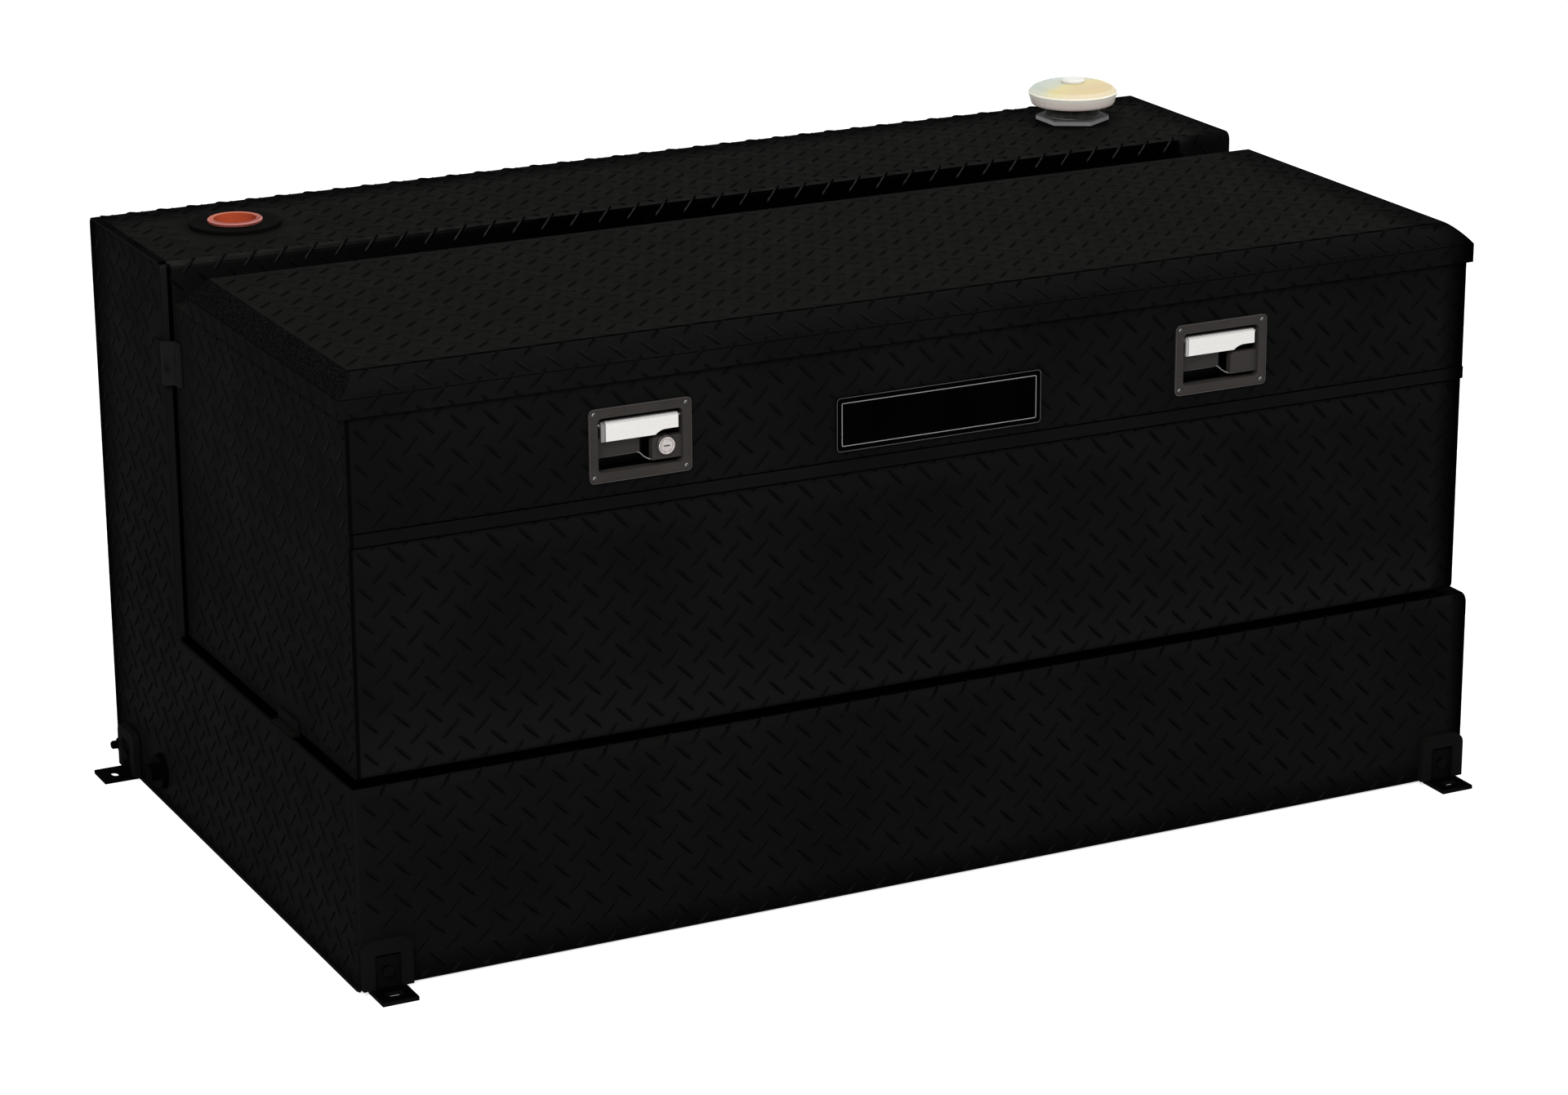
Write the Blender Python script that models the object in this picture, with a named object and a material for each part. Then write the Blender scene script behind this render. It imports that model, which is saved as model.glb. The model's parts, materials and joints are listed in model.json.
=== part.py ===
"""Truck bed transfer tank: an L-shaped fuel tank with a lidded toolbox standing on its shelf.

Frame: the origin is the middle of the tank's flat bottom, +X along the tank to the right end, +Y to the back, +Z up.
All sizes are in metres.
"""

import math

import bmesh
import bpy
from mathutils import Matrix, Vector

# Tank
TANK_WIDTH = 1.219
TANK_DEPTH = 0.690
TANK_HEIGHT = 0.587
BASE_HEIGHT = 0.199
COLUMN_DEPTH = 0.217
TANK_SHEET = 0.003
BEND_RADIUS = 0.005
END_RECESS = 0.0015
BAFFLE_SHEET = 0.0025
BAFFLE_SPACING = 0.406
BAFFLE_HOLE_RADIUS = 0.045
LIMBER_RADIUS = 0.018

# Clearances
GAP = 0.0003
BOX_LIFT = 0.005
BOX_COLUMN_GAP = 0.005

# Fill neck and cap
FITTING_FROM_END = 0.119
FITTING_FROM_BACK = 0.082
BUNG_FROM_BACK = 0.1025
NECK_RADIUS = 0.030
NECK_BORE = 0.0255
NECK_HEIGHT = 0.0185
NECK_FLANGE_RADIUS = 0.040
NECK_FLANGE_THICKNESS = 0.006
NECK_DEPTH = 0.011
CAP_RADIUS = 0.049
CAP_RIM_HEIGHT = 0.014
CAP_DOME = 0.009
CAP_TAPER = 0.003
CAP_SKIRT = 0.003
GASKET_THICKNESS = 0.003
BUTTON_RADIUS = 0.013
BUTTON_HEIGHT = 0.0035

# Pump bung and shipping plug
BUNG_RADIUS = 0.0465
BUNG_BORE = 0.025
BUNG_HEIGHT = 0.0035
BUNG_WALL = 0.0045
PLUG_FLANGE_RADIUS = 0.0277
PLUG_FLANGE_THICKNESS = 0.0028
PLUG_DEPTH = 0.014
PLUG_WALL = 0.003

# Drain and bonding stud on the left end
DRAIN_FROM_BACK = 0.140
DRAIN_HEIGHT = 0.034
DRAIN_RADIUS = 0.019
DRAIN_BORE = 0.0085
DRAIN_PROUD = 0.006
DRAIN_HEAD = 0.014
DRAIN_HEAD_LENGTH = 0.008
STUD_FROM_BACK = 0.014
STUD_HEIGHT = 0.022
STUD_RADIUS = 0.0045
STUD_LENGTH = 0.0135
STUD_NUT_RADIUS = 0.0075
STUD_NUT_HEIGHT = 0.006

# Mounting feet: a welded pocket, an L-shaped foot in it and its bolt
POCKET_WIDTH = 0.050
POCKET_HEIGHT = 0.046
POCKET_DEPTH = 0.0075
POCKET_LEG = 0.012
POCKET_CORNER = 0.009
POCKET_SHEET = 0.003
FOOT_FROM_END = 0.0265
FOOT_FROM_BACK = 0.0475
FOOT_SHEET = 0.004
FOOT_WIDTH = 0.036
FOOT_REACH = 0.037
FOOT_SLOT_WIDTH = 0.009
FOOT_SLOT_LENGTH = 0.018
FOOT_LEG_CLEARANCE = 0.0005
BOLT_RADIUS = 0.003
BOLT_HEAD_RADIUS = 0.006
BOLT_HEAD_HEIGHT = 0.004

# Toolbox
BOX_END_INSET = 0.010
BOX_FRONT_INSET = 0.010
BOX_SHEET = 0.002
BOX_BEND_RADIUS = 0.003
PANEL_SEAM_DROP = 0.1584
PANEL_LAP = 0.020
HEM_HEIGHT = 0.013
HEM_PROUD = 0.0016
RIM_DROP = 0.026
DECK_DROP = 0.040
TROUGH_WIDTH = 0.061
RIM_SET_IN = 0.009
DECK_FLANGE = 0.025
ISOLATOR_WIDTH = 0.040
ISOLATOR_MARGIN = 0.030
SEAL_WIDTH = 0.0048
SEAL_HEIGHT = 0.0072
SEAL_OFFSET = 0.0004

# Straps that hold the toolbox to the tank
STRAP_WIDTH = 0.044
STRAP_REACH = 0.017
STRAP_SHEET = 0.003
STRAP_DROP = 0.099
TAB_LENGTH = 0.052
TAB_FROM_FRONT = 0.158
TAB_LEG = 0.014
TAB_SHEET = 0.0025

# Lid
LID_SHEET = 0.0025
LID_BELOW_COLUMN = 0.001
LID_END_OVERHANG = 0.006
LID_FRONT_OVERHANG = 0.003
LID_SKIRT = 0.019
LID_SHOULDER = 0.019
LID_END_BEVEL = 0.0195
LID_REAR_BEVEL = 0.0145
LID_NOSE = 0.026
NOSE_STEPS = 6
RAIL_CROWN = 0.040
RAIL_FLANGE = 0.012
RAIL_HEIGHT = 0.0165
RAIL_SHEET = 0.0015
RAIL_END_MARGIN = 0.055
FRONT_RAIL_FROM_FRONT = 0.051
REAR_RAIL_FROM_BACK = 0.065

# Hinge
KNUCKLE_RADIUS = 0.004
KNUCKLE_SHEET = 0.0015
KNUCKLE_COUNT = 17
KNUCKLE_GAP = 0.0005
HINGE_PIN_RADIUS = 0.0018
HINGE_LEAF_WIDTH = 0.020
HINGE_END_MARGIN = 0.030

# Latches
LATCH_SPACING = 0.624
LATCH_DROP = 0.0965
BEZEL_WIDTH = 0.1035
BEZEL_HEIGHT = 0.071
BEZEL_CORNER = 0.006
BEZEL_THICKNESS = 0.0018
LATCH_OPENING_WIDTH = 0.0855
LATCH_OPENING_HEIGHT = 0.052
LATCH_OPENING_CORNER = 0.004
LATCH_DEPTH = 0.024
LATCH_WALL = 0.0015
PADDLE_HEIGHT = 0.0185
PADDLE_SIDE_GAP = 0.00375
PADDLE_TOP_GAP = 0.0045
PADDLE_SHEET = 0.003
PADDLE_SET_BACK = 0.0013
PADDLE_BOSS = 0.0075
PADDLE_LIP = 0.006
PADDLE_PIN_RADIUS = 0.0015
LEDGE_BOTTOM = 0.012
LEDGE_SET_BACK = 0.0095
LEDGE_WIDTH = 0.0458
LOCK_BLOCK_WIDTH = 0.030
LOCK_BLOCK_HEIGHT = 0.026
LOCK_BLOCK_LIFT = 0.0045
LOCK_BLOCK_SET_BACK = 0.0028
LOCK_RADIUS = 0.0097
LOCK_FROM_SIDE = 0.01605
LOCK_FROM_BOTTOM = 0.0172
LOCK_CLEARANCE = 0.0065
KEY_SLOT = 0.008
CASE_WIDTH = 0.050
CASE_HEIGHT = 0.016
CASE_DEPTH = 0.024
BOLT_BAR_WIDTH = 0.014
BOLT_BAR_HEIGHT = 0.008
BOLT_BAR_LENGTH = 0.025
BOLT_BAR_PROUD = 0.012
KEEPER_GAP = 0.0026
KEEPER_WIDTH = 0.030
KEEPER_SHEET = 0.002
KEEPER_FLANGE = 0.018
KEEPER_WINDOW_CLEARANCE = 0.001
KEEPER_BAR = 0.004

# Blank plate between the latches
PLATE_WIDTH = 0.220
PLATE_HEIGHT = 0.053
PLATE_DROP = 0.1105
PLATE_CORNER = 0.004
PLATE_THICKNESS = 0.002

ROUND_STEPS = 32
HEX_STEPS = 48
SMALL_STEPS = 16
CORNER_STEPS = 4

# Faces and levels worked out from the sizes above
LEFT = -TANK_WIDTH / 2
RIGHT = TANK_WIDTH / 2
FRONT = -TANK_DEPTH / 2
BACK = TANK_DEPTH / 2
COLUMN_FRONT = BACK - COLUMN_DEPTH
FITTING_Y = BACK - FITTING_FROM_BACK
BUNG_Y = BACK - BUNG_FROM_BACK
BOX_LEFT = LEFT + BOX_END_INSET
BOX_RIGHT = RIGHT - BOX_END_INSET
BOX_FRONT = FRONT + BOX_FRONT_INSET
BOX_BACK = COLUMN_FRONT - BOX_COLUMN_GAP
BOX_BOTTOM = BASE_HEIGHT + BOX_LIFT
LID_TOP = TANK_HEIGHT - LID_BELOW_COLUMN
RIM_TOP = LID_TOP - RIM_DROP
DECK_TOP = LID_TOP - DECK_DROP
SEAM_BOTTOM = LID_TOP - PANEL_SEAM_DROP
LOWER_PANEL_FACE = BOX_FRONT + BOX_SHEET + GAP
LID_LEFT = BOX_LEFT - LID_END_OVERHANG
LID_RIGHT = BOX_RIGHT + LID_END_OVERHANG
LID_FRONT = BOX_FRONT - LID_FRONT_OVERHANG
LID_BACK = COLUMN_FRONT - TROUGH_WIDTH
DECK_FRONT = LID_BACK - RIM_SET_IN
SKIRT_TOP = LID_TOP - LID_SHOULDER
SKIRT_BOTTOM = SKIRT_TOP - LID_SKIRT
LID_UNDERSIDE = LID_TOP - LID_SHEET
HINGE_Y = LID_BACK + GAP + KNUCKLE_RADIUS
HINGE_Z = DECK_TOP + GAP + KNUCKLE_RADIUS
LATCH_Z = LID_TOP - LATCH_DROP
BEZEL_FRONT = BOX_FRONT - GAP - BEZEL_THICKNESS
PAN_BACK = BEZEL_FRONT + LATCH_DEPTH
CASE_FRONT = PAN_BACK + LATCH_WALL + GAP
CASE_BACK = CASE_FRONT + CASE_DEPTH
KEEPER_Y = CASE_BACK + BOLT_BAR_PROUD + KEEPER_GAP


def material(name, colour, roughness, metallic):
    """A Principled surface, made once and shared by the pieces of one finish."""
    found = bpy.data.materials.get(name)
    if found:
        return found
    made = bpy.data.materials.new(name)
    made.use_nodes = True
    shader = made.node_tree.nodes["Principled BSDF"]
    shader.inputs["Base Color"].default_value = (*colour, 1.0)
    shader.inputs["Roughness"].default_value = roughness
    shader.inputs["Metallic"].default_value = metallic
    made.diffuse_color = (*colour, 1.0)
    return made


def black_sheet():
    return material("black_tread_sheet", (0.012, 0.012, 0.012), 0.45, 0.0)


def black_steel():
    return material("black_steel", (0.015, 0.015, 0.015), 0.55, 0.0)


def bright_steel():
    return material("bright_steel", (0.75, 0.74, 0.72), 0.25, 1.0)


def zinc():
    return material("yellow_zinc", (0.78, 0.66, 0.38), 0.25, 1.0)


def bezel_finish():
    return material("bezel_enamel", (0.05, 0.042, 0.038), 0.5, 0.0)


def orange_plastic():
    return material("orange_plastic", (0.72, 0.10, 0.03), 0.4, 0.0)


def rubber():
    return material("black_rubber", (0.01, 0.01, 0.01), 0.8, 0.0)


def finish_object(name, mesh_data, finish, smooth=False):
    """Turns a bmesh into a named object with outward faces."""
    bmesh.ops.remove_doubles(mesh_data, verts=mesh_data.verts, dist=1e-6)
    bmesh.ops.recalc_face_normals(mesh_data, faces=mesh_data.faces)
    mesh = bpy.data.meshes.new(name)
    mesh_data.to_mesh(mesh)
    mesh_data.free()
    if smooth:
        mesh.shade_smooth()
        mesh.set_sharp_from_angle(angle=math.radians(35))
    made = bpy.data.objects.new(name, mesh)
    bpy.context.scene.collection.objects.link(made)
    if finish:
        mesh.materials.append(finish())
    return made


def loft(name, loops, finish, cyclic=False, smooth=False, mesh_data=None):
    """A skin through loops of equal length. Open ends are capped; a cyclic loft closes on its first loop."""
    own = mesh_data is None
    mesh_data = mesh_data or bmesh.new()
    rows = [[mesh_data.verts.new(p) for p in loop] for loop in loops]
    count = len(rows[0])
    pairs = list(zip(rows, rows[1:]))
    if cyclic:
        pairs.append((rows[-1], rows[0]))
    for low, high in pairs:
        for i in range(count):
            j = (i + 1) % count
            mesh_data.faces.new((low[i], low[j], high[j], high[i]))
    if not cyclic:
        mesh_data.faces.new(rows[0][::-1])
        mesh_data.faces.new(rows[-1])
    return finish_object(name, mesh_data, finish, smooth) if own else None


def along_x(points, x0, x1):
    """Two loops: a (y, z) outline at each end of its run along X."""
    return [[Vector((x, y, z)) for y, z in points] for x in (x0, x1)]


def extrude_x(name, points, x0, x1, finish, smooth=False):
    return loft(name, along_x(points, x0, x1), finish, smooth=smooth)


def block(name, low, high, finish, mesh_data=None):
    """A cuboid between two corners, or one more of them in a shared mesh."""
    outline = [(low[1], low[2]), (high[1], low[2]), (high[1], high[2]), (low[1], high[2])]
    return loft(name, along_x(outline, low[0], high[0]), finish, mesh_data=mesh_data)


def circle(radius, steps=ROUND_STEPS):
    """Points of a circle in a plane of its own."""
    turns = [2 * math.pi * i / steps for i in range(steps)]
    return [(radius * math.cos(a), radius * math.sin(a)) for a in turns]


def polygon_ring(sides, corner_radius, steps=ROUND_STEPS):
    """A regular polygon drawn with as many points as a circle, so the two can be joined by a loft."""
    per_side = steps // sides
    corners = [
        Vector(p)
        for p in (
            (
                corner_radius * math.cos(math.pi * (2 * i + 1) / sides),
                corner_radius * math.sin(math.pi * (2 * i + 1) / sides),
            )
            for i in range(sides)
        )
    ]
    ring = []
    for i in range(sides):
        ring += [tuple(corners[i - 1].lerp(corners[i], k / per_side)) for k in range(per_side)]
    return ring


def turned(name, rings, centre, finish, axis="Z", cyclic=False, steps=ROUND_STEPS):
    """A turned piece: rings of (radius or ring of points, distance along the axis)."""
    loops = []
    for shape, along in rings:
        ring = circle(shape, steps) if isinstance(shape, float) else shape
        if axis == "Z":
            points = [Vector((u, v, along)) for u, v in ring]
        elif axis == "X":
            points = [Vector((along, u, v)) for u, v in ring]
        else:
            points = [Vector((u, along, v)) for u, v in ring]
        loops.append([Vector(centre) + p for p in points])
    return loft(name, loops, finish, cyclic=cyclic, smooth=True)


def rounded(points, radii, steps=CORNER_STEPS):
    """A closed outline with each corner rounded by its own radius."""
    outline = []
    for i, point in enumerate(points):
        corner = Vector(point)
        before = (Vector(points[i - 1]) - corner).normalized()
        after = (Vector(points[(i + 1) % len(points)]) - corner).normalized()
        if radii[i] <= 0:
            outline.append(tuple(corner))
            continue
        half = before.angle(after) / 2
        start = corner + before * radii[i] / math.tan(half)
        end = corner + after * radii[i] / math.tan(half)
        centre = corner + (before + after).normalized() * radii[i] / math.sin(half)
        for k in range(steps + 1):
            spoke = (start - centre).lerp(end - centre, 0.5)
            sweep = (start - centre).angle(end - centre)
            side = (end - start).normalized()
            turn = -sweep / 2 + sweep * k / steps
            spot = centre + spoke.normalized() * radii[i] * math.cos(turn) + side * radii[i] * math.sin(turn)
            outline.append(tuple(spot))
    return outline


def rounded_rectangle(width, height, radius, steps=CORNER_STEPS):
    """A rounded rectangle about its own centre."""
    w, h = width / 2, height / 2
    return rounded([(-w, -h), (w, -h), (w, h), (-w, h)], [radius] * 4, steps)


def bent_sheet(path, thickness, bend):
    """The outline of a folded sheet: a path of bends, given thickness on its left, with rounded folds."""
    points = [Vector(p) for p in path]
    ways = [(b - a).normalized() for a, b in zip(points, points[1:])]
    sides = [Vector((-w.y, w.x)) for w in ways]
    offset = [points[0] + sides[0] * thickness]
    near, far = [0.0], [0.0]
    for i in range(1, len(points) - 1):
        mid = (sides[i - 1] + sides[i]).normalized()
        offset.append(points[i] + mid * thickness / mid.dot(sides[i]))
        turns_left = ways[i - 1].cross(ways[i]) > 0
        near.append(bend + thickness if turns_left else bend)
        far.append(bend if turns_left else bend + thickness)
    offset.append(points[-1] + sides[-1] * thickness)
    near.append(0.0)
    far.append(0.0)
    return rounded([tuple(p) for p in points] + [tuple(p) for p in offset[::-1]], near + far[::-1], 3)


def cut(target, cutter, operation="DIFFERENCE"):
    """Cuts one object with another, or joins them, and keeps the second as a wire guide."""
    step = target.modifiers.new(cutter.name, "BOOLEAN")
    step.operation = operation
    step.solver = "EXACT"
    step.object = cutter
    cutter.hide_render = True
    cutter.display_type = "WIRE"
    return target


def tank_outline(inset):
    """The L-shaped end view of the tank, inset from the outer faces, with the sheet's bends."""
    outer = BEND_RADIUS + TANK_SHEET
    convex = max(outer - inset, 0.0005)
    concave = BEND_RADIUS + inset
    points = [
        (FRONT + inset, inset),
        (BACK - inset, inset),
        (BACK - inset, TANK_HEIGHT - inset),
        (COLUMN_FRONT + inset, TANK_HEIGHT - inset),
        (COLUMN_FRONT + inset, BASE_HEIGHT - inset),
        (FRONT + inset, BASE_HEIGHT - inset),
    ]
    return rounded(points, [convex, convex, convex, convex, concave, convex])


def tank_wrap():
    """One sheet bent round the L and seamed, open at both ends, with holes for the neck and the bung."""
    outer, inner = tank_outline(0.0), tank_outline(TANK_SHEET)
    loops = along_x(outer, LEFT, RIGHT) + along_x(inner, LEFT, RIGHT)[::-1]
    wrap = loft("tank_wrap", loops, black_sheet, cyclic=True)
    for name, x, y, radius in (
        ("neck_hole", RIGHT - FITTING_FROM_END, FITTING_Y, NECK_RADIUS + GAP),
        ("bung_hole", LEFT + FITTING_FROM_END, BUNG_Y, BUNG_BORE + BUNG_WALL + GAP),
    ):
        reach = 3 * TANK_SHEET
        rings = [(radius, TANK_HEIGHT - reach), (radius, TANK_HEIGHT + reach)]
        cut(wrap, turned(name, rings, (x, y, 0), None))
    return wrap


def tank_ends():
    """The welded end plates, set just inside the wrap, with the drain hole in the left one."""
    outline = tank_outline(TANK_SHEET + GAP)
    left_face, right_face = LEFT + END_RECESS, RIGHT - END_RECESS
    left = extrude_x("tank_end_left", outline, left_face, left_face + TANK_SHEET, black_sheet)
    extrude_x("tank_end_right", outline, right_face - TANK_SHEET, right_face, black_sheet)
    hole = DRAIN_BORE + BUNG_WALL + GAP
    rings = [(hole, LEFT - TANK_SHEET), (hole, LEFT + 4 * TANK_SHEET)]
    cut(left, turned("drain_hole", rings, (0, BACK - DRAIN_FROM_BACK, DRAIN_HEIGHT), None, "X"))


def baffles():
    """Surge plates across the tank, holed for the fuel to pass and notched along the floor."""
    outline = tank_outline(TANK_SHEET + GAP)
    for name, x in (("baffle_left", -BAFFLE_SPACING / 2), ("baffle_right", BAFFLE_SPACING / 2)):
        plate = extrude_x(name, outline, x - BAFFLE_SHEET / 2, x + BAFFLE_SHEET / 2, black_steel)
        reach = 2 * BAFFLE_SHEET
        middle = BASE_HEIGHT / 2
        spots = [
            (BAFFLE_HOLE_RADIUS, FRONT + TANK_DEPTH / 4, middle),
            (BAFFLE_HOLE_RADIUS, BACK - TANK_DEPTH / 4, middle),
            (BAFFLE_HOLE_RADIUS, (COLUMN_FRONT + BACK) / 2, (BASE_HEIGHT + TANK_HEIGHT) / 2),
            (LIMBER_RADIUS, 0.0, TANK_SHEET),
        ]
        for i, (radius, y, z) in enumerate(spots):
            rings = [(radius, x - reach), (radius, x + reach)]
            cut(plate, turned(f"{name}_hole_{i}", rings, (0, y, z), None, "X", steps=SMALL_STEPS))


def fill_neck():
    """A six-sided weld flange with a round neck and a bore down through the sheet."""
    top = TANK_HEIGHT + GAP
    chamfer = NECK_FLANGE_THICKNESS / 4
    flange = polygon_ring(6, NECK_FLANGE_RADIUS, HEX_STEPS)
    flange_top = polygon_ring(6, NECK_FLANGE_RADIUS - chamfer, HEX_STEPS)
    bottom = TANK_HEIGHT - NECK_DEPTH
    rings = [
        (NECK_RADIUS, bottom),
        (NECK_RADIUS, top),
        (flange, top),
        (flange, TANK_HEIGHT + NECK_FLANGE_THICKNESS - chamfer),
        (flange_top, TANK_HEIGHT + NECK_FLANGE_THICKNESS),
        (NECK_RADIUS, TANK_HEIGHT + NECK_FLANGE_THICKNESS),
        (NECK_RADIUS, TANK_HEIGHT + NECK_HEIGHT),
        (NECK_BORE, TANK_HEIGHT + NECK_HEIGHT),
        (NECK_BORE, bottom),
    ]
    centre = (RIGHT - FITTING_FROM_END, FITTING_Y, 0)
    turned("fill_neck", rings, centre, black_steel, cyclic=True, steps=HEX_STEPS)


def fill_cap():
    """The zinc cap with its domed top, deep rim and screwed skirt, its gasket, and the vent button."""
    centre = (RIGHT - FITTING_FROM_END, FITTING_Y, 0)
    seat = TANK_HEIGHT + NECK_HEIGHT + GAP
    under = seat + GASKET_THICKNESS + GAP
    rim_bottom = seat
    rim_top = rim_bottom + CAP_RIM_HEIGHT
    crown = rim_top + CAP_DOME
    skirt = NECK_BORE - GAP
    foot = CAP_RADIUS - CAP_TAPER
    rim = foot - CAP_SKIRT
    flat = BUTTON_RADIUS + GAP
    rings = [
        (flat, crown),
        (CAP_RADIUS * 0.55, crown - CAP_DOME * 0.08),
        (CAP_RADIUS * 0.76, crown - CAP_DOME * 0.25),
        (CAP_RADIUS * 0.9, crown - CAP_DOME * 0.58),
        (CAP_RADIUS * 0.985, rim_top),
        (CAP_RADIUS, rim_top - CAP_SKIRT * 0.5),
        (foot, rim_bottom + CAP_SKIRT * 0.7),
        (foot - CAP_SKIRT * 0.4, rim_bottom),
        (rim, rim_bottom),
        (rim, under),
        (skirt, under),
        (skirt, TANK_HEIGHT - GAP),
        (skirt - CAP_SKIRT, TANK_HEIGHT - GAP),
        (skirt - CAP_SKIRT, under + CAP_SKIRT),
    ]
    turned("fill_cap", rings, centre, zinc)
    gasket = [
        (skirt + GAP, seat),
        (NECK_RADIUS, seat),
        (NECK_RADIUS, seat + GASKET_THICKNESS),
        (skirt + GAP, seat + GASKET_THICKNESS),
    ]
    turned("cap_gasket", gasket, centre, rubber, cyclic=True)
    button = [
        (BUTTON_RADIUS, crown + GAP),
        (BUTTON_RADIUS, crown + GAP + BUTTON_HEIGHT * 0.6),
        (BUTTON_RADIUS * 0.8, crown + GAP + BUTTON_HEIGHT),
    ]
    turned("vent_button", button, centre, bright_steel, steps=24)


def pump_bung():
    """The low round bung for a pump, and the plastic plug that closes it for shipping."""
    centre = (LEFT + FITTING_FROM_END, BUNG_Y, 0)
    top = TANK_HEIGHT + BUNG_HEIGHT
    bottom = TANK_HEIGHT - NECK_DEPTH
    tube = BUNG_BORE + BUNG_WALL
    chamfer = BUNG_HEIGHT / 5
    rings = [
        (tube, bottom),
        (tube, TANK_HEIGHT + GAP),
        (BUNG_RADIUS, TANK_HEIGHT + GAP),
        (BUNG_RADIUS - chamfer / 2, top - chamfer),
        (BUNG_RADIUS - 2 * chamfer, top),
        (BUNG_BORE, top),
        (BUNG_BORE, bottom),
    ]
    turned("pump_bung", rings, centre, black_steel, cyclic=True)
    seat = top + GAP
    body = BUNG_BORE - GAP
    flange_top = seat + PLUG_FLANGE_THICKNESS
    plug = [
        (body - PLUG_WALL, flange_top - PLUG_DEPTH + PLUG_WALL),
        (body - PLUG_WALL, flange_top),
        (PLUG_FLANGE_RADIUS - PLUG_FLANGE_THICKNESS / 3, flange_top),
        (PLUG_FLANGE_RADIUS, flange_top - PLUG_FLANGE_THICKNESS / 3),
        (PLUG_FLANGE_RADIUS, seat),
        (body, seat),
        (body, flange_top - PLUG_DEPTH),
    ]
    turned("shipping_plug", plug, centre, orange_plastic)


def end_fittings():
    """The drain bung with its square-headed plug, and the bonding stud with its nut, on the left end."""
    face = LEFT + END_RECESS - GAP
    inside = LEFT + END_RECESS + TANK_SHEET
    drain = (0, BACK - DRAIN_FROM_BACK, DRAIN_HEIGHT)
    tube = DRAIN_BORE + BUNG_WALL
    mouth = face - DRAIN_PROUD
    bung = [
        (tube, inside),
        (tube, face),
        (DRAIN_RADIUS, face),
        (DRAIN_RADIUS - DRAIN_PROUD / 4, mouth),
        (DRAIN_BORE, mouth),
        (DRAIN_BORE, inside),
    ]
    turned("drain_bung", bung, drain, black_steel, "X", cyclic=True, steps=24)
    head = polygon_ring(4, DRAIN_HEAD / math.sqrt(2), 24)
    plug = [
        (DRAIN_BORE - GAP, inside),
        (DRAIN_BORE - GAP, mouth - GAP),
        (head, mouth - GAP),
        (head, mouth - GAP - DRAIN_HEAD_LENGTH),
    ]
    turned("drain_plug", plug, drain, black_steel, "X", steps=24)
    tip = face - STUD_LENGTH
    nut = polygon_ring(6, STUD_NUT_RADIUS, 24)
    stud = [
        (nut, face),
        (nut, face - STUD_NUT_HEIGHT),
        (STUD_RADIUS, face - STUD_NUT_HEIGHT),
        (STUD_RADIUS, tip + STUD_RADIUS / 3),
        (STUD_RADIUS * 0.7, tip),
    ]
    spot = (0, BACK - STUD_FROM_BACK, STUD_HEIGHT)
    turned("bonding_stud", stud, spot, bright_steel, "X", steps=24)


def foot_places():
    """Each foot's name and the turn and shift that carry it from its own frame, where it faces -Y, to the tank."""
    from_end = TANK_WIDTH / 2 - FOOT_FROM_END
    side = BACK - FOOT_FROM_BACK
    quarter = math.pi / 2
    return [
        ("front_left", Matrix.Translation((-from_end, FRONT, 0))),
        ("front_right", Matrix.Translation((from_end, FRONT, 0))),
        ("rear_left", Matrix.Translation((LEFT, side, 0)) @ Matrix.Rotation(-quarter, 4, "Z")),
        ("rear_right", Matrix.Translation((RIGHT, side, 0)) @ Matrix.Rotation(quarter, 4, "Z")),
    ]


def foot_pocket(name, place):
    """A pressed, arched frame welded to the tank, open below for the foot's leg."""
    w, t = POCKET_WIDTH / 2, POCKET_LEG
    low = FOOT_SHEET + GAP
    high = low + POCKET_HEIGHT
    inner = w - t
    outline = rounded(
        [(-w, low), (-inner, low), (-inner, high - t), (inner, high - t), (inner, low), (w, low), (w, high), (-w, high)],
        [0, 0, POCKET_CORNER / 3, POCKET_CORNER / 3, 0, 0, POCKET_CORNER, POCKET_CORNER],
    )
    loops = [[Vector((x, y, z)) for x, z in outline] for y in (-GAP, -POCKET_DEPTH)]
    made = loft(name, loops, black_steel)
    made.data.transform(place)
    made.data.update()
    return made


def tie_down_foot(name, place):
    """An L-shaped foot: a leg up the pocket with a bolt hole, and a slotted tongue on the bed."""
    leg = POCKET_WIDTH / 2 - POCKET_LEG - FOOT_LEG_CLEARANCE
    tongue = FOOT_WIDTH / 2
    face = -GAP - FOOT_SHEET
    leg_top = FOOT_SHEET + GAP + POCKET_HEIGHT - POCKET_LEG - POCKET_CORNER / 3
    profile = [(-GAP, 0), (-GAP, leg_top), (face, leg_top), (face, FOOT_SHEET), (-FOOT_REACH, FOOT_SHEET), (-FOOT_REACH, 0)]
    foot = extrude_x(name, profile, -tongue, tongue, black_steel)
    mesh_data = bmesh.new()
    reach = 3 * FOOT_SHEET
    for side in (-1, 1):
        low, high = sorted((side * leg, side * (tongue + reach)))
        block("", (low, -reach, FOOT_SHEET), (high, reach, leg_top + reach), None, mesh_data)
    cut(foot, finish_object(name + "_shoulders", mesh_data, None))
    slot_middle = (face - FOOT_REACH) / 2
    slot = rounded_rectangle(FOOT_SLOT_LENGTH, FOOT_SLOT_WIDTH, FOOT_SLOT_WIDTH / 2 - 1e-5, 5)
    loops = [[Vector((x, slot_middle + y, z)) for x, y in slot] for z in (-reach, FOOT_SHEET + reach / 3)]
    cut(foot, loft(name + "_slot", loops, None))
    hole = BOLT_RADIUS + GAP
    rings = [(hole, -reach), (hole, reach)]
    cut(foot, turned(name + "_hole", rings, (0, 0, bolt_height()), None, "Y", steps=SMALL_STEPS))
    for thing in [foot] + [step.object for step in foot.modifiers]:
        thing.data.transform(place)
        thing.data.update()
    return foot


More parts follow.
